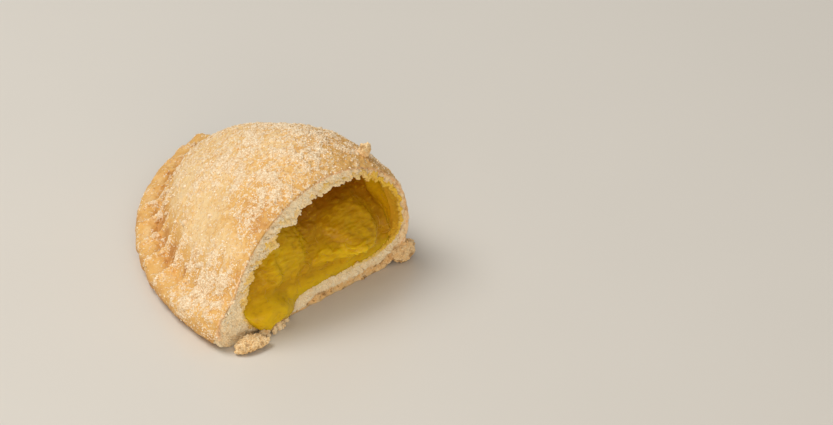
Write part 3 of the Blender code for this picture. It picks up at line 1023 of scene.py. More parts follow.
@dataclass(frozen=True)
class PineappleJam:
    """Wet amber jam with soft fruit in it, with painted shade deep in the hollow."""

    amber: Triple = linear(203, 155, 20)
    fruit: Triple = linear(231, 192, 26)
    shade_and_dark_amber: Triple = linear(158, 100, 14)
    cloud_size: float = 4.5 * MM
    pulp_size: float = 0.7 * MM
    pulp_drawn_out: float = 2.5
    pulp_depth: float = 0.18 * MM
    swell_size: float = 2.2 * MM
    swell_depth: float = 0.12 * MM
    gloss_size: float = 1.6 * MM
    scatter: float = 2.4 * MM
    scatter_radius: Triple = (0.75, 0.68, 0.08)

    def material(self) -> Material:
        """Builds the finish. It reads the value fruit, and a value that holds painted shade deep in the hollow and
        a brown chunk's darker amber.

        Returns:
            The material.
        """
        paint = Paint("pineapple_jam", self.amber)
        cloud = paint.step(paint.noise(self.cloud_size, 3, warp=0.8), 0.35, 0.7, -0.15, 0.25)
        paint.lay(paint.plus(cloud, paint.value("fruit")), self.fruit)
        # Painted shade deep in the hollow under the roof, and a brown chunk's darker amber.
        paint.lay(paint.value("shade_and_dark_amber"), self.shade_and_dark_amber)
        pulp = paint.noise(self.pulp_size, 3, warp=0.5, drawn_out=self.pulp_drawn_out)
        paint.lay(paint.step(pulp, 0.55, 0.72, 0.0, 0.4), self.fruit)
        paint.lay(paint.step(pulp, 0.5, 0.25, 0.0, 0.3), self.shade_and_dark_amber)
        swell = paint.noise(self.swell_size, 3), self.swell_depth, 0.5
        return paint.finish(
            Roughness=paint.step(paint.noise(self.gloss_size), 0.3, 0.7, 0.1, 0.28),
            Normal=paint.relief((pulp, self.pulp_depth, 0.9), swell),
            Subsurface_Weight=0.8,
            Subsurface_Radius=self.scatter_radius,
            Subsurface_Scale=self.scatter,
            Specular_IOR_Level=0.13,
        )


@dataclass(frozen=True)
class Toned:
    """A glossy finish whose things each have a tone between two colours, over fine relief."""

    name: str
    dull: Triple
    bright: Triple
    grain: Relief
    roughness: float
    gloss: float

    def material(self) -> Material:
        """Builds the finish. It reads the value tone.

        Returns:
            The material.
        """
        paint = Paint(self.name, self.dull)
        paint.lay(paint.value("tone"), self.bright)
        relief = paint.relief((paint.noise(self.grain.size), self.grain.height, 0.5))
        return paint.finish(Roughness=self.roughness, Normal=relief, Specular_IOR_Level=self.gloss)


# Sugar is clear enough to take a little of the crust's tan.
SUGAR_CRYSTAL = Toned(
    "sugar_crystal", linear(224, 190, 142), linear(253, 239, 214), Relief(0.05 * MM, 0.3 * MM), 0.35, 0.45
)
FRUIT_FIBRE = Toned(
    "fruit_fibre", linear(200, 152, 18), linear(216, 178, 44), Relief(0.04 * MM, 0.5 * MM), 0.3, 0.5
)


# ---------------------------------------------------------------- strewn things


class Shape(Enum):
    """What one strewn thing is."""

    CRYSTAL = "cube"
    GRAIN = "ball"
    NUB = "soft ball"

    def mesh(self, tree: Scatter) -> Socket:
        """Adds the mesh of one thing, 1 across, to a tree.

        Args:
            tree: The tree in the making.

        Returns:
            The mesh.
        """
        if self is Shape.CRYSTAL:
            return tree.get("GeometryNodeMeshCube", {"Size": (1.0, 1.0, 1.0)})
        ball = tree.get("GeometryNodeMeshIcoSphere", {"Radius": 0.5, "Subdivisions": 1})
        return ball if self is Shape.GRAIN else tree.get("GeometryNodeSetShadeSmooth", {"Geometry": ball})


@dataclass(frozen=True)
class Strewing:
    """Small things strewn over a piece, turned, stretched and toned at random, as real mesh.

    They lie as densely as a value stored on the piece says, to the power of their crowding.
    """

    follows: str
    density: float
    sizes: Pair
    seed: int
    shape: Shape = Shape.GRAIN
    crowding: int = 1
    sunk: float = 0.0
    least_stretch: Triple = (0.7, 0.7, 0.6)
    most_stretch: Triple = (1.2, 1.2, 1.1)

    def build(self, name: str, carrier: Piece, finish: Material, slot: Slot) -> None:
        """Makes the piece.

        Args:
            name: Its name.
            carrier: The piece that the things lie on.
            finish: Their finish.
            slot: The record's slot of that finish.
        """
        tree = Scatter(name)
        share = value = tree.value(self.follows)
        for _ in range(self.crowding - 1):
            share = tree.times(share, value)
        points = tree.points(tree.times(tree.size("Density", self.density), share), self.seed)
        depth = tree.times(tree.size("Sunk", self.sunk), -1.0)
        size = tree.random(tree.size("Smallest", self.sizes[0]), tree.size("Largest", self.sizes[1]), 1)
        stretch = tree.random_vector(self.least_stretch, self.most_stretch, 2)
        inputs = {
            "Points": tree.moved(points.outputs["Points"], tree.scaled(points.outputs["Normal"], depth)),
            "Instance": self.shape.mesh(tree),
            "Rotation": tree.random_vector((0, 0, 0), (math.tau, math.tau, math.tau), 3),
            "Scale": tree.scaled(stretch, size),
        }
        things = tree.toned(tree.get("GeometryNodeInstanceOnPoints", inputs))
        dress(tree.grow(things, carrier, finish), slot)


CRUMB_GRAINS = Strewing(
    "loose", 6.3e6, (0.3 * MM, 0.9 * MM), 5, least_stretch=(0.6, 0.6, 0.5), most_stretch=(1.2, 1.2, 1.0)
)


# ---------------------------------------------------------------- pieces


@dataclass(frozen=True)
class Spot:
    """A round region of the surface: x, distance from the cut, height, reach (mm) and strength."""

    x: float
    behind: float
    z: float
    reach: float
    amount: float

    def weight(self, points: Array, y_cut: float) -> Array:
        """The strength at each place."""
        away = np.linalg.norm(points - (self.x * MM, y_cut + self.behind * MM, self.z * MM), axis=1)
        return self.amount * bell(away, 0.0, self.reach * MM)


@dataclass
class BakedCrust:
    """The crust's skin over lip, dome, fold and base, and the wall of its hollow."""

    form: Turnover
    fineness: int = 5
    stations_per_crimp: int = 18
    cavity_stations: int = 36
    rim_rings: int = 6
    rim_under: Pair = (0.6 * MM, 1.8 * MM)
    rim_sinks: Pair = (0.3, 0.8)
    rim_at: float = 0.15 * MM
    skin_at: float = 0.1 * MM
    base_fades: Pair = (1.5 * MM, 4 * MM)
    base_behind: Pair = (2.4 * MM, 2.3 * MM)
    base_behind_reach: float = 5 * MM
    hollow_inset: float = -0.3 * MM
    cap_rings: int = 5
    cap_bulge: float = 2 * MM
    lip_fades: Pair = (8.5 * MM, 11 * MM)
    mark_at: float = 7.2 * MM
    mark_width: float = 2 * MM
    edge_fades: Pair = (0.5 * MM, 3 * MM)
    low_fades: Pair = (1 * MM, 5 * MM)
    rim_fades: Pair = (1.0 * MM, 5.5 * MM)
    ridge_rises: Pair = (2.5 * MM, 5 * MM)
    wet_rises: Pair = (0.6 * MM, 2 * MM)
    wet_height: Pair = (2 * MM, 5 * MM)
    hollow_shade_rises: Pair = (8 * MM, 18 * MM)
    sugar_patch: Relief = Relief(0.85, 5.5 * MM, 3.0)
    sugar_cluster: Relief = Relief(0.95, 1.9 * MM, 9.0)
    swell: Relief = Relief(0.24 * MM, 4.5 * MM, 5.0)
    crinkle: Relief = Relief(0.24 * MM, 1.7 * MM, 1.0)
    pit: Relief = Relief(0.28 * MM, 1.15 * MM, 7.0)
    sugar_crust: Relief = Relief(0.36 * MM, 0.8 * MM, 2.0)
    sugared: tuple[Spot, ...] = (
        Spot(8.7, 25.0, 34.5, 9, 0.7),
        Spot(8.2, 15.3, 37.0, 8, 0.5),
        Spot(-3.2, 24.8, 30.6, 7, 0.55),
        Spot(-5.4, 29.5, 26.7, 6, 0.4),
        Spot(-1.5, 36.0, 25.0, 6, 0.4),
        Spot(-0.1, 6.0, 35.6, 7, 0.5),
        Spot(13.4, 5.6, 34.8, 6, 0.05),
        Spot(-11.5, 5.0, 31.3, 8, 0.5),
        Spot(-25.0, 14.3, 10.7, 7, 0.9),
        Spot(-28.0, 7.5, 8.7, 8, 0.95),
        Spot(-26.8, 1.5, 10.0, 6, 0.9),
        Spot(-21.0, 28.0, 7.0, 5, 0.4),
    )
    browned: tuple[Spot, ...] = (
        Spot(14.0, 9.7, 35.4, 8, 0.4),
        Spot(19.6, 4.5, 31.5, 9, 0.12),
        Spot(30.0, 26.5, 14.0, 22, 0.12),
        Spot(-11.3, 8.0, 31.0, 10, 0.34),
        Spot(-18.0, 3.0, 27.0, 8, 0.3),
        Spot(-26.5, 9.9, 10.4, 3, 0.4),
    )
    bare: tuple[Spot, ...] = (
        Spot(-14.3, 23.7, 20.3, 12, 0.9),
        Spot(-22.5, 7.7, 19.6, 7, 0.9),
        Spot(-2.0, 43.5, 17.0, 10, 0.7),
    )

    def outside(self) -> tuple[Array, Array, Array]:
        """Rings from the far tip over the outside to the cut.

        Returns:
            The points, and each point's b and s, by ring.
        """
        steps = self.form.crimps * self.stations_per_crimp
        places, stations, distances = [], [], []
        for k in range(steps, -1, -1):
            section = Section(self.form, k / steps)
            outline = section.outer(self.fineness)
            places.append(section.skin(outline))
            stations.append([section.b] * len(outline))
            distances.append([s for s, _ in outline])
        return np.array(places), np.array(stations), np.array(distances)

    def cap(self, tip_ring: Array) -> Array:
        """Rings that close the far tip.

        Args:
            tip_ring: The ring that they close.

        Returns:
            The rings, from the innermost outwards.
        """
        tip = Section(self.form, 1.0)
        centre = np.array(tip.place(tip.span / 2, (self.form.lip_lift + tip.height) / 2)[:])
        outward = np.array((-tip.along.y, tip.along.x, 0.0))
        rings = []
        for i in range(self.cap_rings, 0, -1):
            angle = QUARTER * i / (self.cap_rings + 1)
            bulge = outward * self.cap_bulge * math.sin(angle)
            rings.append(centre + (tip_ring - centre) * math.cos(angle) + bulge)
        return np.array(rings)

    def rim(self, skin: Array, hollow: Array, over_base: Array) -> Array:
        """Rings that sink behind the crumb, from the skin at the cut to the hollow.

        Args:
            skin: The skin's last ring.
            hollow: The hollow's first ring.
            over_base: 1 at each point that lies on the base, 0 well above it.

        Returns:
            The rings.
        """
        shares = ((np.arange(1, self.rim_rings + 1) / (self.rim_rings + 1)) ** 2)[:, None]
        rim = skin + (hollow - skin) * shares[..., None]
        under, behind = self.rim_under
        sunk = under * np.minimum(5 * shares, 1) + (behind - under) * smooth_steps(*self.rim_sinks, shares)
        rim[:, :, 1] = self.form.y_cut + self.rim_at + sunk + self.base_behind[1] * over_base
        return rim

    def surface(self) -> Surface:
        """Builds the whole closed surface, with its relief and its values.

        Returns:
            The surface.
        """
        outside, stations, distances = self.outside()
        cap = self.cap(outside[0])
        hollow = Cavity(self.form, self.fineness, self.hollow_inset).rings(
            self.cavity_stations, self.rim_under[1]
        )
        over_base = falls(*self.base_fades, outside[-1, :, 2])
        outside[-1, :, 1] = self.form.y_cut + self.skin_at
        near_cut = falls(0.0, self.base_behind_reach, outside[:, :, 1] - self.form.y_cut)
        outside[:, :, 1] += self.base_behind[0] * over_base * near_cut
        rim = self.rim(outside[-1], hollow[0], over_base)
        surface = Surface.of_rings(np.concatenate([cap, outside, rim, hollow]))
        around = outside.shape[1]
        capped, skinned = len(cap) * around, (len(cap) + len(outside)) * around
        b, s, inside = np.zeros((3, len(surface.points)))
        b[:capped] = 1.0
        b[capped:skinned] = stations.ravel()
        s[capped:skinned] = distances.ravel()
        inside[skinned:] = 1.0
        inside[-2] = 0.0
        surface.quad_slots[skinned - around :] = 1
        surface.triangle_slots[around:] = 1
        self.paint(surface, b, s, inside)
        self.emboss(surface, inside)
        return surface

    def paint(self, surface: Surface, b: Array, s: Array, inside: Array) -> None:
        """Works out where the skin is browned, sugared, smooth or stained, and where painted shade darkens the
        crimps' creases and the depth of the hollow.

        Args:
            surface: The surface, which gets the values.
            b: Each point's place along the crimped edge.
            s: Each point's distance from it.
            inside: 1 at the points of the rim and the hollow.
        """
        points, cut = surface.points, self.form.y_cut
        z, depth = points[:, 2], points[:, 1] - cut
        marks = {round(value, 6): self.form.crimp_mark(value) for value in np.unique(b)}
        mark = np.array([marks[round(value, 6)] for value in b])
        on_lip = falls(*self.lip_fades, s)
        facet = smooth_steps(0.15, 0.6, mark) * on_lip
        # Painted shade at the inner ends of the fork marks, where they dip under the lip.
        inner_end_shade = bell(s, self.mark_at, self.mark_width) * facet
        edge, low, at_rim = falls(*self.edge_fades, s), falls(*self.low_fades, z), falls(*self.rim_fades, depth)
        bare = np.clip(sum(spot.weight(points, cut) for spot in self.bare), 0, 1)
        # Painted shade along the creases beside the fork marks' ridges.
        crease_shade = bell(mark, 0.15, 0.12) * on_lip * (1 - edge)
        # brown holds the real browning and, from the marks' creases and inner ends, painted shade.
        brown = 0.22 + 0.22 * facet + 0.5 * inner_end_shade + 0.3 * crease_shade + 0.18 * edge * on_lip + 0.35 * low
        brown = brown + sum(spot.weight(points, cut) for spot in self.browned) - 0.2 * bare + 0.12 * at_rim
        ridge = on_lip * smooth_steps(*self.ridge_rises, s) * (1 - facet)
        sugar = 0.36 + 0.25 * ridge + sum(spot.weight(points, cut) for spot in self.sugared)
        patch, cluster = self.sugar_patch, self.sugar_cluster
        sugar = sugar * (0.4 + patch.height * smooth_steps(-0.3, 0.4, patch.noise(points)))
        sugar = sugar * (1 - 0.45 * bare) * (1 - 0.8 * facet) * (1 - low) * (1 - 0.5 * at_rim)
        sugar = sugar * (0.35 + cluster.height * smooth_steps(-0.3, 0.3, cluster.noise(points)))
        rough = (1 - 0.4 * bare) * (1 - 0.7 * facet) * (1 - inside) * (1 - low)
        wet = smooth_steps(*self.wet_rises, depth) * smooth_steps(*self.wet_height, z)
        surface.values = {
            "brown": np.clip(brown, 0, 1.2) * (1 - inside) + inside * 0.15,
            "sugar": np.clip(sugar, 0, 1.2) * (1 - inside),
            "smooth": np.clip(bare + 0.7 * facet, 0, 1),
            "rough": rough * (points[:, 1] > cut + self.wet_rises[0]),
            "toast": 0.5 * inside * falls(0.5 * MM, 1.0 * MM, depth),
            # The stain deepens further into the hollow: painted shade over jam-soaked crumb.
            "stain": inside * (0.6 * wet + 0.4 * smooth_steps(*self.hollow_shade_rises, depth)),
        }

    def emboss(self, surface: Surface, inside: Array) -> None:
        """Raises the fine relief of the baked skin.

        Args:
            surface: The surface, which is changed.
            inside: 1 at the points of the rim and the hollow.
        """
        points, values = surface.points.copy(), surface.values
        rough = (1 - 0.7 * values["smooth"]) * (1 - inside)
        relief = self.swell.lumps(points) * (1 - inside)
        relief += self.crinkle.lumps(points) * rough
        relief -= self.pit.height * smooth_steps(0.15, 0.5, self.pit.noise(points)) * rough
        grains = 0.4 + 0.6 * smooth_steps(-0.3, 0.3, self.sugar_crust.noise(points))
        relief += self.sugar_crust.height * values["sugar"] * grains
        surface.push(relief * smooth_steps(0.2 * MM, 2.5 * MM, points[:, 2]))
        surface.rest()

    def build(self) -> Piece:
        """Makes the piece."""
        obj = self.surface().piece("crust_skin", BakedSkin().material(), PaleCrumb().material())
        return dress(obj, Slot.CRUST, "crust")


@dataclass
class CutCrumb:
    """The torn crumb that shows at the cut, from just under the skin to inside the hollow."""

    form: Turnover
    fineness: int = 16
    face_rings: int = 22
    wall_rings: int = 14
    wall_depth: float = 9 * MM
    wall_crowding: float = 1.3
    under_skin: float = 0.15 * MM
    over_skin: float = 0.06 * MM
    wrap_depth: float = 0.5 * MM
    wrap: Relief = Relief(0.4 * MM, 1.2 * MM, 2.0)
    grain: Relief = Relief(0.55 * MM, 1.6 * MM, 2.0)
    fine_grain: Relief = Relief(0.32 * MM, 0.7 * MM, 5.0)
    coarse_grain: Relief = Relief(0.8 * MM, 2.6 * MM, 7.0)
    swell: Relief = Relief(0.3 * MM, 3.5 * MM, 1.0)
    deepest: float = 0.8 * MM
    tooth_depth: float = 2.5 * MM
    tooth_reach: float = 1.4 * MM
    tooth_flat: Triple = (1.0, 0.3, 1.0)
    tooth: Relief = Relief(0.9, 2.2 * MM, 4.0)
    tooth_run: Relief = Relief(1.1, 3.6 * MM, 1.0)
    tooth_fray: Relief = Relief(0.35, 1.0 * MM, 8.0)
    hidden_rings: tuple[Pair, ...] = ((3.0 * MM, 1.3 * MM), (1.6 * MM, 0.9 * MM), (0.8 * MM, 0.4 * MM))
    floor_undercut: float = 1.0 * MM
    undercut: Relief = Relief(0.45, 3 * MM, 3.0)
    wander: Relief = Relief(1.0, 2.5 * MM, 6.0)
    base_fades: Pair = (1.5 * MM, 5 * MM)
    corner_fades: Pair = (-26 * MM, -17 * MM)
    right_rises: Pair = (5 * MM, 25 * MM)
    left_fades: Pair = (-16 * MM, -6 * MM)
    stain_rises: Pair = (0.0, 1.5 * MM)
    hollow_shade_rises: Pair = (8 * MM, 18 * MM)
    loose_depths: Pair = (2.5 * MM, 3 * MM)
    loose_above: float = 0.7 * MM
    broken_below: float = 6 * MM
    foot_height: float = 1.0 * MM
    proudest: float = 0.35 * MM
    clearance: float = 0.02 * MM

    def surface(self) -> Surface:
        """Builds the closed band, with its relief and its values.

        Returns:
            The surface.
        """
        section, cavity = Section(self.form, 0.0), Cavity(self.form, self.fineness)
        outer = section.skin(section.outer(self.fineness))
        centre = np.array(section.place(*section.centre())[:])
        across = self.toothed(cavity.ring(0.0), centre) - outer
        width = np.linalg.norm(across, axis=1)
        start = self.under_skin / width
        over = outer - across * (self.over_skin / width)[:, None]
        over[:, 1] += self.wrap_depth + self.wrap.lumps(outer)
        shares = [start + (1 - start) * k / (self.face_rings - 1) for k in range(self.face_rings)]
        face = [over] + [outer + across * share[:, None] for share in shares]
        wall = [self.wall_ring(cavity, k / self.wall_rings, centre) for k in range(1, self.wall_rings + 1)]
        back = Section(self.form, self.wall_depth / self.form.half_length)
        shell = np.array([back.place(s, z)[:] for s, z in back.outer(self.fineness)])
        closing = [wall[-1] + (shell - wall[-1]) * 0.4]
        closing += [self.under_outside(depth, inset, centre) for depth, inset in self.hidden_rings]
        rings = np.array(face + wall + closing)
        surface = Surface.of_rings(rings, closed=True)
        share = np.ones(rings.shape[:2])
        share[0] = 0.0
        share[1 : self.face_rings + 1] = shares
        share[-len(closing) :] = 0.3
        self.paint(surface, share.ravel(), np.tile(smooth_steps(*self.base_fades, outer[:, 2]), len(rings)))
        shown = np.ones(rings.shape[:2])
        shown[-len(closing) :] = 0.0
        self.crumble(surface, share.ravel(), shown.ravel())
        return surface

    def wall_ring(self, cavity: Cavity, share: float, centre: Array) -> Array:
        """A ring of the hollow's wall, whose teeth fade away from the cut.

        Args:
            cavity: The hollow.
            share: How far back it lies, 1 at the last.
            centre: The middle of the filling at the cut.

        Returns:
            Its points.
        """
        depth = self.wall_depth * share**self.wall_crowding
        ring = cavity.ring(depth / self.form.half_length)
        fade = math.exp(-((depth / self.tooth_reach) ** 2))
        return ring + (self.toothed(ring, centre) - ring) * fade

    def under_outside(self, depth: float, inset: float, centre: Array) -> Array:
        """A ring that runs under the skin.

        Args:
            depth: How far behind the cut it lies.
            inset: How far under the skin.
            centre: The middle of the filling at the cut.

        Returns:
            Its points.
        """
        section = Section(self.form, depth / self.form.half_length)
        ring = section.skin(section.outer(self.fineness))
        inward = (centre - ring) * (1, 0, 1)
        return ring + inward * (inset / np.linalg.norm(inward, axis=1))[:, None]

    def toothed(self, ring: Array, centre: Array) -> Array:
        """A ring of the cavity's wall with fine teeth drawn towards the middle, on the roof's side.

        Args:
            ring: The ring.
            centre: The middle of the filling at the cut.

        Returns:
            The new ring.
        """
        inward = (centre - ring) * (1, 0, 1)
        inward /= np.linalg.norm(inward, axis=1, keepdims=True)
        flat = ring * np.array(self.tooth_flat)
        height = (0.1 + self.tooth.height * self.tooth.pebbles(flat)) * (0.55 + self.tooth_run.lumps(flat))
        fray = self.tooth_fray.height * smooth_steps(-0.4, 0.4, self.tooth_fray.noise(flat))
        height = np.maximum(height, 0) + fray
        height = height * (1.25 - 0.5 * smooth_steps(-20 * MM, 5 * MM, ring[:, 0]))
        roof = smooth_steps(8 * MM, 13 * MM, ring[:, 2])
        roof = roof * (1 - 0.7 * smooth_steps(18 * MM, 26 * MM, ring[:, 0]))
        return ring + inward * (self.tooth_depth * height * roof)[:, None]

    def paint(self, surface: Surface, share: Array, over_base: Array) -> None:
        """Works out where the crumb is toasted, browned, stained or loose, and where painted shade darkens it deep
        in the hollow.

        Args:
            surface: The surface, which gets the values.
            share: How far each point lies from the skin, 1 at the hollow.
            over_base: 0 at each point that faces the base, 1 well above it.
        """
        x, depth, z = surface.points[:, 0], surface.points[:, 1] - self.form.y_cut, surface.points[:, 2]
        wander = self.wander.noise(surface.points)
        toast = falls(0.03, 0.17, share) * over_base
        corner = falls(*self.corner_fades, x)
        brown = falls(0.28, 0.5, share + 0.14 * wander) * (1 - over_base) * (1 - 0.75 * corner)
        # past_edge rises deep into the hollow, where it paints shade over jam-soaked crumb.
        past_edge = 0.6 * smooth_steps(*self.stain_rises, depth) + 0.4 * smooth_steps(*self.hollow_shade_rises, depth)
        right, left = smooth_steps(*self.right_rises, x), falls(*self.left_fades, x)
        stain = smooth_steps(0.68, 1.0, share + 0.16 * wander) * (0.14 + 0.36 * right + 0.22 * left)
        ragged = smooth_steps(0.75, 1.0, share) * (depth < self.loose_depths[0])
        loose = np.clip(0.45 + 0.55 * ragged * over_base + 0.55 * (1 - over_base), 0, 1)
        loose = loose * (depth < self.loose_depths[1]) * (share > 0.02) * (z > self.loose_above)
        surface.values = {
            "toast": 0.8 * toast,
            "brown": np.clip(brown + 0.55 * right * over_base, 0, 1),
            "stain": np.where(share > 0.95, np.maximum(stain, past_edge), stain),
            "loose": loose,
        }

    def crumble(self, surface: Surface, share: Array, shown: Array) -> None:
        """Breaks the crumb's face into grains, paints shade in the gaps between them, and undercuts the floor.

        Args:
            surface: The surface, which is changed.
            share: How far each point lies from the skin, 1 at the hollow.
            shown: 0 at the points that the skin hides, 1 elsewhere.
        """
        points, brown = surface.points.copy(), surface.values["brown"]
        z = points[:, 2]
        big, small = self.grain.pebbles(points), self.fine_grain.pebbles(points)
        relief = self.grain.height * (big - 0.65) + self.fine_grain.height * (small - 0.6)
        relief += self.swell.lumps(points)
        broken = 1 - 0.45 * smooth_steps(5 * MM, 9 * MM, z)
        broken += 0.9 * brown * (z < self.broken_below)
        relief += self.coarse_grain.height * broken * (self.coarse_grain.pebbles(points) - 0.7)
        relief = np.maximum(relief * smooth_steps(-0.02, 0.12, share), -self.deepest)
        # Painted shade in the gaps between the grains.
        surface.values["pit"] = np.clip(1.0 - 0.6 * big - 0.7 * small, 0, 1)
        surface.push(relief * shown)
        at_foot = (share < 0.15) & (z < self.foot_height)
        surface.points[at_foot, 2] = np.minimum(surface.points[at_foot, 2], z[at_foot])
        surface.points[:, 1] += self.floor_undercut * brown * (0.55 + self.undercut.lumps(points))
        surface.points[:, 1] = np.maximum(surface.points[:, 1], self.form.y_cut - self.proudest)
        surface.rest(self.clearance)

    def build(self) -> Piece:
        """Makes the piece."""
        return dress(self.surface().piece("cut_crumb", PaleCrumb().material()), Slot.CRUMB, "crust")


@dataclass(frozen=True)
class Chunk:
    """A soft piece of pineapple in the filling's face: its place, half size and depth (mm)."""

    from_edge: float
    height: float
    half_width: float
    half_height: float
    stands_out: float
    ripe: float

    def away(self, x: Array, z: Array, edge: float) -> Array:
        """Distance from its middle, 1 at its outline."""
        across = (x - edge - self.from_edge * MM) / (self.half_width * MM)
        return np.hypot(across, (z - self.height * MM) / (self.half_height * MM))


@dataclass
class Filling:
    """Pineapple jam with chunks: flush with the cut at the bottom, sunk under the roof."""

    form: Turnover
    fineness: int = 10
    stations: int = 24
    back_rings: int = 14
    face_rings: int = 84
    overlap: float = 0.4 * MM
    depth: float = 1.5 * MM
    least_depth: float = 0.4 * MM
    hollow_depth: float = 12 * MM
    hollow_least: float = 0.4
    hollow_from_edge: float = 45 * MM
    hollow_width: float = 18 * MM
    hollow_rises: Pair = (9 * MM, 25 * MM)
    chunk_edge: Pair = (0.35, 1.15)
    chunk_shade: Pair = (0.6, 1.3)
    chunk_bend: float = 0.3
    chunk_grain: float = 5 * MM
    lump: Relief = Relief(0.45 * MM, 4.5 * MM)
    swell: Relief = Relief(0.34 * MM, 3.2 * MM, 3.0)
    ripple: Relief = Relief(0.2 * MM, 1.5 * MM, 6.0)
    strand: Relief = Relief(0.5 * MM, 0.9 * MM, 1.0)
    pulp: Relief = Relief(0.2 * MM, 0.7 * MM, 4.0)
    pulp_drawn: Triple = (0.45, 1.0, 1.0)
    pole_fades: Pair = (0.3 * MM, 2.2 * MM)
    foot_fades: Pair = (1.5 * MM, 4.5 * MM)
    foot_scallop: Relief = Relief(1.9 * MM, 2.1 * MM, 2.0)
    foot_least: float = 0.25 * MM
    band_fades: Pair = (0.5 * MM, 3.6 * MM)
    coat_rises: Pair = (24 * MM, 26.5 * MM)
    fibres_fade: Pair = (17 * MM, 11 * MM)
    last_share: float = 0.985
    brought_forward: float = 1.1 * MM
    centre_at: float = 0.1
    halvings: int = 18
    chunks: dict[str, Chunk] = field(
        default_factory=lambda: {
            "mass": Chunk(48, 15.0, 9.5, 7.0, 4.2, 0.2),
            "slope": Chunk(25, 18.0, 9.0, 8.0, 1.6, 0.7),
            "glossy_bit": Chunk(19, 12.5, 4.2, 4.0, 1.4, 0.35),
            "ledge": Chunk(42, 11.0, 9.0, 2.2, 1.5, 0.75),
            "bright_bit": Chunk(46, 9.6, 2.8, 2.4, 1.4, 1.0),
            "lobe": Chunk(17, 4.6, 8.0, 4.6, 3.4, 0.9),
            "brown_bit": Chunk(58, 13.0, 4.0, 4.4, 2.2, 0.0),
            "dent": Chunk(62, 15.0, 5.0, 12.0, -3.0, 0.0),
        }
    )

    @property
    def edge(self) -> float:
        """Where the crimped edge is at the cut."""
        return -self.form.cut_width / 2

    def bend(self, x: Array, z: Array) -> Array:
        """How far each chunk's outline is drawn in or out."""
        flat = upright(x, z, self.chunk_grain)
        return 1 + self.chunk_bend * lumps(flat, self.chunk_grain).reshape(x.shape)

    def band(self, z: Array) -> Array:
        """1 where the jam clings to the floor at the cut, 0 well above it."""
        return falls(*self.band_fades, z - self.form.floor_thickness)

    def face_depth(self, x: Array, z: Array) -> Array:
        """How far the face lies behind the knife's plane.

        Args:
            x: Places across the face.
            z: Their heights.

        Returns:
            The depth at each place.
        """
        hollow = bell(x - self.edge, self.hollow_from_edge, self.hollow_width)
        across = self.hollow_least + (1 - self.hollow_least) * hollow
        depth = self.depth + self.hollow_depth * smooth_steps(*self.hollow_rises, z) * across
        bend = self.bend(x, z)
        for chunk in self.chunks.values():
            away = chunk.away(x, z, self.edge) * bend
            depth = depth - chunk.stands_out * MM * falls(*self.chunk_edge, away)
        forward = self.brought_forward * self.band(z)
        return depth - forward - self.lump.lumps(upright(x, z)).reshape(x.shape)

    def along(self, walls: Array, place: Array) -> Array:
        """Points of the walls' lines.

        Args:
            walls: The hollow's rings.
            place: For each line, a place counted in stations from the cut.

        Returns:
            The points.
        """
        number = np.clip(place.astype(int), 0, len(walls) - 2)
        columns = np.arange(walls.shape[1])
        share = (place - number)[:, None]
        return walls[number, columns] * (1 - share) + walls[number + 1, columns] * share

    def surface(self) -> Surface:
        """Builds the closed surface, with its relief and its values.

        Returns:
            The surface.
        """
        form = self.form
        walls = Cavity(form, self.fineness, -self.overlap).rings(self.stations)
        low, high = np.zeros(walls.shape[1]), np.full(walls.shape[1], float(self.stations))
        for _ in range(self.halvings):
            middle = (low + high) / 2
            x, y, z = self.along(walls, middle).T
            before = y - form.y_cut < np.maximum(self.face_depth(x, z), self.least_depth)
            low, high = np.where(before, middle, low), np.where(before, high, middle)
        last = self.stations * self.last_share
        shares = [k / self.back_rings for k in range(self.back_rings + 1)]
        rings = [self.along(walls, last + (high - last) * share) for share in shares]
        near_cut = Section(form, self.centre_at)
        centre = np.array(near_cut.place(*near_cut.centre())[:])
        edge = rings[-1]
        for k in range(1, self.face_rings):
            ring = edge + (centre - edge) * k / self.face_rings
            ring[:, 1] = form.y_cut + self.face_depth(ring[:, 0], ring[:, 2])
            rings.append(ring)
        surface = Surface.of_rings(np.array(rings))
        on_face = np.ones(len(surface.points))
        on_face[: len(shares) * walls.shape[1]] = 0.0
        on_face[-2] = 0.0
        self.dress_face(surface, on_face)
        return surface

    def dress_face(self, surface: Surface, on_face: Array) -> None:
        """Gives the face its pulp, its lobe's ragged foot, its colours and its painted shade.

        Args:
            surface: The surface, which is changed.
            on_face: 1 at the points of the face, 0 behind it.
        """
        points = surface.points.copy()
        x, y, z = points.T
        bend, band = self.bend(x, z), self.band(z)
        near = {}
        for name, chunk in self.chunks.items():
            near[name] = falls(*self.chunk_shade, chunk.away(x, z, self.edge) * bend)
        fruit = np.max([chunk.ripe * near[name] for name, chunk in self.chunks.items()], axis=0)
        lobe, pulpy = near["lobe"], np.maximum(near["ledge"], near["bright_bit"])
        drawn = points * np.array(self.pulp_drawn)
        relief = self.swell.lumps(points) + self.ripple.lumps(points)
        relief += self.strand.height * pulpy * self.strand.noise(drawn) * (1 - 0.5 * band)
        relief += self.pulp.lumps(drawn)
        calm = smooth_steps(*self.pole_fades, np.hypot(x - x[-1], z - z[-1]))
        surface.push(relief * on_face * calm * (1 - 0.45 * lobe) * (1 - 0.6 * band))
        foot = lobe * on_face * falls(*self.foot_fades, z)
        scallop = self.foot_scallop.noise(points * np.array((1.0, 0.0, 0.0)))
        surface.points[:, 2] += self.foot_scallop.height * foot * scallop
        surface.rest(self.foot_least)
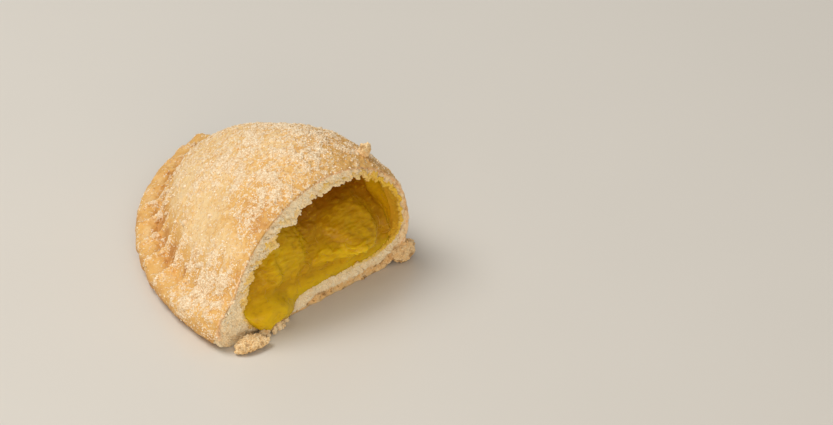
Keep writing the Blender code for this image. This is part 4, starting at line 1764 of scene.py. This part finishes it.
        # Painted shade: darker the further back the face lies in the hollow, less on the fruit.
        shade_and_dark_amber = smooth_steps(0.22, 0.9, (y - self.form.y_cut) / self.hollow_depth) * (1 - 0.3 * fruit)
        coated = smooth_steps(*self.coat_rises, x)
        surface.values = {
            "fruit": np.clip(np.maximum(fruit, np.maximum(0.8 * band, coated)), 0, 1),
            # Painted shade in the hollow, kept off the coated right wall, and the brown chunk's darker amber.
            "shade_and_dark_amber": np.clip((shade_and_dark_amber + 0.45 * near["brown_bit"]) * (1 - 0.9 * coated), 0, 1),
            "face": on_face * smooth_steps(*self.fibres_fade, z) * (1 - lobe),
        }

    def build(self) -> Piece:
        """Makes the piece."""
        obj = self.surface().piece("pineapple_jam", PineappleJam().material())
        return dress(obj, Slot.FILLING, "filling")


@dataclass
class Sugar:
    """What lies on the skin: single crystals, caked grains, nubs of crust and the largest clumps."""

    form: Turnover
    crystals: Strewing = Strewing("sugar", 7.5e6, (0.14 * MM, 0.34 * MM), 8, Shape.CRYSTAL)
    grains: Strewing = Strewing("sugar", 9.0e6, (0.3 * MM, 0.7 * MM), 9, crowding=3)
    nubs: Strewing = Strewing("rough", 1.1e6, (0.3 * MM, 0.7 * MM), 10, Shape.NUB, sunk=0.18 * MM)
    clumps: int = 84
    clump_radius: Pair = (0.55 * MM, 0.95 * MM)
    clump_squash: Pair = (0.7, 1.15)
    clump_sunk: float = 0.25 * MM
    clump_spacing: float = 2.6 * MM
    clump_patch: float = 13 * MM
    clump_threshold: Pair = (-0.5, 0.3)
    clump_along: Pair = (0.03, 0.9)
    clump_across: Pair = (0.12, 0.86)
    clump_seed: int = 11
    clump_grain: Relief = Relief(0.28 * MM, 0.6 * MM)
    clump_swell: Relief = Relief(0.15 * MM, 0.9 * MM)
    clump_tone: Relief = Relief(0.5, 0.5 * MM, 2.0)

    def places(self, draw: random.Random) -> list[Vector]:
        """Finds where the largest clumps sit, as on the crust's solid.

        Args:
            draw: The random draws.

        Returns:
            Points of the skin.
        """
        places: list[Vector] = []
        while len(places) < self.clumps:
            section = Section(self.form, draw.uniform(*self.clump_along))
            s = draw.uniform(*self.clump_across) * section.span
            if s < section.crown:
                point = section.place(s, section.top(s))
            else:
                angle = math.asin((s - section.crown) / (section.outer_span - section.crown))
                point = section.place(*section.beyond_crown(angle))
            point = self.form.lumpy(point)
            in_patch = noise.noise(point / self.clump_patch) > draw.uniform(*self.clump_threshold)
            if in_patch and all((point - other).length > self.clump_spacing for other in places):
                places.append(point)
        return places

    def largest_clumps(self) -> Surface:
        """Builds the clumps, each a rough lump of crystals, partly sunk in the skin.

        Returns:
            The clumps as one surface.
        """
        draw = random.Random(self.clump_seed)
        sunk = Vector((0, 0, self.clump_sunk))
        shapes = []
        for point in self.places(draw):
            radius = draw.uniform(*self.clump_radius)
            shapes.append(tumbled(draw, point - sunk, radius, self.clump_squash))
        surface = Surface.of_balls(3, shapes)
        points = surface.points.copy()
        surface.push(self.clump_grain.grains(points, 0.7) + self.clump_swell.lumps(points))
        tone = smooth_steps(-0.4, 0.4, self.clump_tone.noise(points))
        surface.values["tone"] = 0.15 + self.clump_tone.height * tone
        return surface

    def build(self, carrier: Piece) -> None:
        """Makes the pieces.

        Args:
            carrier: The skin that they lie on.
        """
        finish = SUGAR_CRYSTAL.material()
        self.crystals.build("sugar_crystals", carrier, finish, Slot.CRUST)
        self.grains.build("sugar_grains", carrier, finish, Slot.CRUST)
        self.nubs.build("crust_nubs", carrier, carrier.data.materials[0], Slot.CRUST)
        dress(self.largest_clumps().piece("sugar_clumps", finish), Slot.CRUST, "crust")


@dataclass
class Fibres:
    """Thin strands of fruit that lie on the filling's face."""

    density: float = 0.15e6
    lengths: Pair = (1.2 * MM, 3.2 * MM)
    radius: float = 0.05 * MM
    wander: float = 0.9 * MM
    wave_size: float = 2.5 * MM
    bow: float = 0.3
    points: int = 9
    sides: int = 5
    seed: int = 3

    def build(self, carrier: Piece) -> None:
        """Strews the strands and gives them their thickness.

        Args:
            carrier: The filling that they lie on.
        """
        tree = Scatter("fruit_fibres")
        density = tree.times(tree.size("Density", self.density), tree.value("face"))
        points = tree.points(density, self.seed)
        inputs = {"Start": (-0.5, 0, 0), "Middle": (0, self.bow, 0), "End": (0.5, 0, 0), "Resolution": self.points}
        strand = tree.get("GeometryNodeCurveQuadraticBezier", inputs)
        shortest, longest = self.lengths
        size = tree.random(tree.size("Shortest", shortest), tree.size("Longest", longest), 1)
        spin = tree.get("ShaderNodeCombineXYZ", {"Z": tree.random(0.0, math.tau, 2)})
        inputs = {"Rotation": points.outputs["Rotation"], "Rotate By": spin}
        turn = tree.get("FunctionNodeRotateEuler", inputs, space="LOCAL")
        inputs = {"Points": points.outputs["Points"], "Instance": strand, "Rotation": turn, "Scale": size}
        strands = tree.toned(tree.get("GeometryNodeInstanceOnPoints", inputs))
        real = tree.get("GeometryNodeRealizeInstances", {"Geometry": strands})
        inputs = {"Scale": 1 / self.wave_size, "Detail": 1.0}
        wave = tree.add("ShaderNodeTexNoise", inputs).outputs["Color"]
        half = tree.get("ShaderNodeVectorMath", {0: wave, 1: (0.5, 0.5, 0.5)}, operation="SUBTRACT")
        moved = tree.moved(real, tree.scaled(half, tree.size("Wander", self.wander)))
        inputs = {"Resolution": self.sides, "Radius": tree.size("Radius", self.radius)}
        profile = tree.get("GeometryNodeCurvePrimitiveCircle", inputs)
        inputs = {"Curve": moved, "Profile Curve": profile, "Fill Caps": True}
        tubes = tree.get("GeometryNodeCurveToMesh", inputs)
        dress(tree.grow(tubes, carrier, FRUIT_FIBRE.material()), Slot.FILLING)


@dataclass(frozen=True)
class Bit:
    """A broken bit: its piece, the solid that it stands for, its middle, half size (mm) and turn.

    The middle's second number is its distance behind the cut.
    """

    name: str
    solid: str
    middle: Triple
    half: Triple
    turn: float = 0.0


@dataclass
class BrokenBits:
    """The loose flake before the cut, the torn bit, the roof's flake and the crumbs at the foot."""

    form: Turnover
    flake: Bit = Bit("broken_flake", "crust_flake", (-25.8, -4.0, 1.55), (4.6, 2.2, 1.7), math.radians(-8))
    torn: Bit = Bit("torn_bit", "crust", (29.6, 0.9, 2.5), (3.4, 2.6, 2.6))
    roof: Bit = Bit("roof_flake", "crust", (20.2, 4.2, 33.0), (1.5, 1.1, 1.9))
    form_lumps: Relief = Relief(0.28, 0.9)
    grain: Relief = Relief(0.3 * MM, 1.1 * MM, 4.0)
    fine_grain: Relief = Relief(0.2 * MM, 0.5 * MM)
    swell: Relief = Relief(0.3 * MM, 1.6 * MM)
    brown_patch: Relief = Relief(0.2, 1.6 * MM, 2.0)
    low_fades: Pair = (0.5 * MM, 2.2 * MM)
    loose: float = 1.4
    loose_rises: Pair = (0.5 * MM, 0.9 * MM)
    fringe: int = 26
    fringe_x: Pair = (-25.0 * MM, -10.5 * MM)
    fringe_shift: Pair = (-0.5, 1.5)
    fringe_out: Pair = (-0.9 * MM, 0.8 * MM)
    fringe_bow: float = 2.0 * MM
    fringe_radius: Pair = (0.35 * MM, 1.2 * MM)
    fringe_squash: Pair = (0.7, 1.3)
    fringe_grain: Relief = Relief(0.3 * MM, 0.7 * MM)
    fringe_swell: Relief = Relief(0.25 * MM, 1.0 * MM)
    fringe_seed: int = 21

    def lump(self, bit: Bit) -> Surface:
        """Builds a rough lump of crumb, as its solid has it, with finer grains.

        Args:
            bit: Its place and sizes.

        Returns:
            The surface.
        """
        x, behind, z = bit.middle
        centre = np.array(Vector((x * MM, self.form.y_cut + behind * MM, z * MM))[:])
        surface = Surface.of_balls(6, [Matrix.Identity(4)])
        ball = surface.points
        rough = 1 + self.form_lumps.height * lumps(ball / self.form_lumps.size + centre / MM, 1.0)
        spin = np.array(Euler((0, 0, bit.turn)).to_matrix())
        surface.points = centre + (ball * (np.array(bit.half) * MM) * rough[:, None]) @ spin.T
        points = surface.points.copy()
        relief = self.grain.grains(points, 0.6) + self.fine_grain.grains(points, 0.5)
        surface.push(relief + self.swell.lumps(points))
        surface.rest()
        height, nothing = surface.points[:, 2], np.zeros(len(points))
        patches = self.brown_patch.height * smooth_steps(0.0, 0.5, self.brown_patch.noise(points))
        surface.values = {
            "toast": nothing,
            "brown": np.clip(0.7 + 0.3 * falls(*self.low_fades, height) + patches, 0, 1),
            "stain": nothing,
            # Painted shade in the gaps between the grains.
            "pit": np.clip(1.0 - self.grain.pebbles(points), 0, 1),
            "loose": self.loose * smooth_steps(*self.loose_rises, height),
        }
        return surface

    def foot_crumbs(self) -> Surface:
        """Builds a ragged row of crumbs that lies before the filling's lobe and clings to its foot.

        Returns:
            The crumbs as one surface.
        """
        draw = random.Random(self.fringe_seed)
        start, end = self.fringe_x
        shapes = []
        for k in range(self.fringe):
            x = start + (end - start) * (k + draw.uniform(*self.fringe_shift)) / self.fringe
            radius = draw.uniform(*self.fringe_radius)
            bow = self.fringe_bow * math.sin(math.pi * (k + 0.5) / self.fringe)
            y = self.form.y_cut - bow - draw.uniform(*self.fringe_out)
            shapes.append(tumbled(draw, Vector((x, y, 0.8 * radius)), radius, self.fringe_squash))
        surface = Surface.of_balls(4, shapes)
        points = surface.points.copy()
        surface.push(self.fringe_grain.grains(points, 0.6) + self.fringe_swell.lumps(points))
        surface.rest()
        nothing = np.zeros(len(points))
        # Painted shade in the gaps between the grains.
        gap_shade = 1 - self.fringe_grain.pebbles(points)
        surface.values = {"toast": nothing, "brown": nothing + 0.4, "stain": nothing, "pit": gap_shade}
        return surface

    def build(self, finish: Material) -> None:
        """Makes the pieces.

        Args:
            finish: The crumb's finish.
        """
        flake, torn = (
            dress(self.lump(bit).piece(bit.name, finish), Slot.CRUMB, bit.solid) for bit in (self.flake, self.torn)
        )
        dress(self.foot_crumbs().piece("foot_crumbs", finish), Slot.CRUMB)
        roof = dress(self.lump(self.roof).piece(self.roof.name, finish), Slot.CRUMB, self.roof.solid)
        for name, carrier in (("flake_grains", flake), ("torn_grains", torn), ("roof_grains", roof)):
            CRUMB_GRAINS.build(name, carrier, finish, Slot.CRUMB)


# ---------------------------------------------------------------- stage


@dataclass(frozen=True)
class Lamp:
    """A soft square light."""

    name: str
    place: Triple
    power: float
    width: float
    colour: Triple

    def build(self) -> None:
        """Hangs the light, turned to the origin."""
        light = bpy.data.lights.new(self.name, "AREA")
        light.energy, light.size, light.color = self.power, self.width, self.colour
        obj = bpy.data.objects.new(self.name, light)
        obj.location = self.place
        obj.rotation_euler = (-Vector(self.place)).to_track_quat("-Z", "Y").to_euler()
        bpy.context.scene.collection.objects.link(obj)


@dataclass
class Studio:
    """A plain pale floor, soft light and the camera."""

    form: Turnover
    azimuth: float = math.radians(-44.5)
    elevation: float = math.radians(30.5)
    distance: float = 2.5
    clip_end: float = 10.0
    frame_width: float = 201.2 * MM
    frame_pixels: Pair = (833, 425)
    crimp_end_x: float = -28.6 * MM
    crimp_end_at: Pair = (233, 346)
    behind_aim: float = 30 * MM
    sensor: float = 36.0
    floor_half: float = 1.5
    floor_patch: float = 60 * MM
    floor_colour: Triple = linear(220, 215, 208)
    floor_shade: float = 0.97
    air: Triple = (0.84, 0.82, 0.78)
    air_strength: float = 0.38
    lamps: tuple[Lamp, ...] = (
        Lamp("key", (-0.35, 0.35, 0.95), 8.3, 0.6, (0.98, 0.97, 0.93)),
        Lamp("fill", (-0.62, -0.72, 0.35), 4.0, 0.7, (1.0, 0.88, 0.71)),
    )

    def camera(self) -> None:
        """Places the camera at the photograph's angle."""
        turn, tilt = self.azimuth, self.elevation
        back = Vector((math.sin(turn) * math.cos(tilt), -math.cos(turn) * math.cos(tilt), math.sin(tilt)))
        right = Vector((math.cos(turn), math.sin(turn), 0))
        up = back.cross(right)
        pixel = self.frame_width / self.frame_pixels[0]
        crimp_end = Vector((self.crimp_end_x, self.form.y_cut, 0))
        across = (self.frame_pixels[0] / 2 - self.crimp_end_at[0]) * pixel
        down = (self.crimp_end_at[1] - self.frame_pixels[1] / 2) * pixel
        aim = crimp_end + right * across + up * down - back * self.behind_aim
        camera = bpy.data.cameras.new("camera")
        camera.sensor_width = self.sensor
        camera.lens = self.distance * self.sensor / self.frame_width
        camera.clip_end = self.clip_end
        obj = bpy.data.objects.new("camera", camera)
        axes = Matrix((right, up, back)).transposed().to_4x4()
        obj.matrix_world = Matrix.Translation(aim + back * self.distance) @ axes
        bpy.context.scene.collection.objects.link(obj)
        bpy.context.scene.camera = obj

    def floor(self) -> None:
        """Lays the pale floor."""
        half = self.floor_half
        corners = [(-half, -half, 0), (half, -half, 0), (half, half, 0), (-half, half, 0)]
        mesh = bpy.data.meshes.new("floor")
        mesh.from_pydata(corners, [], [(0, 1, 2, 3)])
        paint = Paint("pale_floor", self.floor_colour)
        paint.lay(paint.noise(self.floor_patch), tuple(self.floor_shade * c for c in self.floor_colour))
        mesh.materials.append(paint.finish(Roughness=0.35))
        obj = bpy.data.objects.new("floor", mesh)
        bpy.context.scene.collection.objects.link(obj)

    def build(self) -> None:
        """Sets up floor, light and camera."""
        world = bpy.data.worlds.new("air")
        world.use_nodes = True
        background = world.node_tree.nodes["Background"]
        background.inputs["Color"].default_value = (*self.air, 1.0)
        background.inputs["Strength"].default_value = self.air_strength
        bpy.context.scene.world = world
        bpy.context.scene.view_settings.view_transform = "Standard"
        self.floor()
        self.camera()
        for lamp in self.lamps:
            lamp.build()


def main() -> None:
    """Builds the dressed half empanada and its stage."""
    logging.basicConfig(level=logging.INFO, format="%(name)s: %(message)s")
    form = Turnover()
    Studio(form).build()
    skin = BakedCrust(form).build()
    crumb = CutCrumb(form).build()
    jam = Filling(form).build()
    crumb_finish = crumb.data.materials[0]
    CRUMB_GRAINS.build("crumb_grains", crumb, crumb_finish, Slot.CRUMB)
    Fibres().build(jam)
    Sugar(form).build(skin)
    BrokenBits(form).build(crumb_finish)


if __name__ == "__main__":
    main()
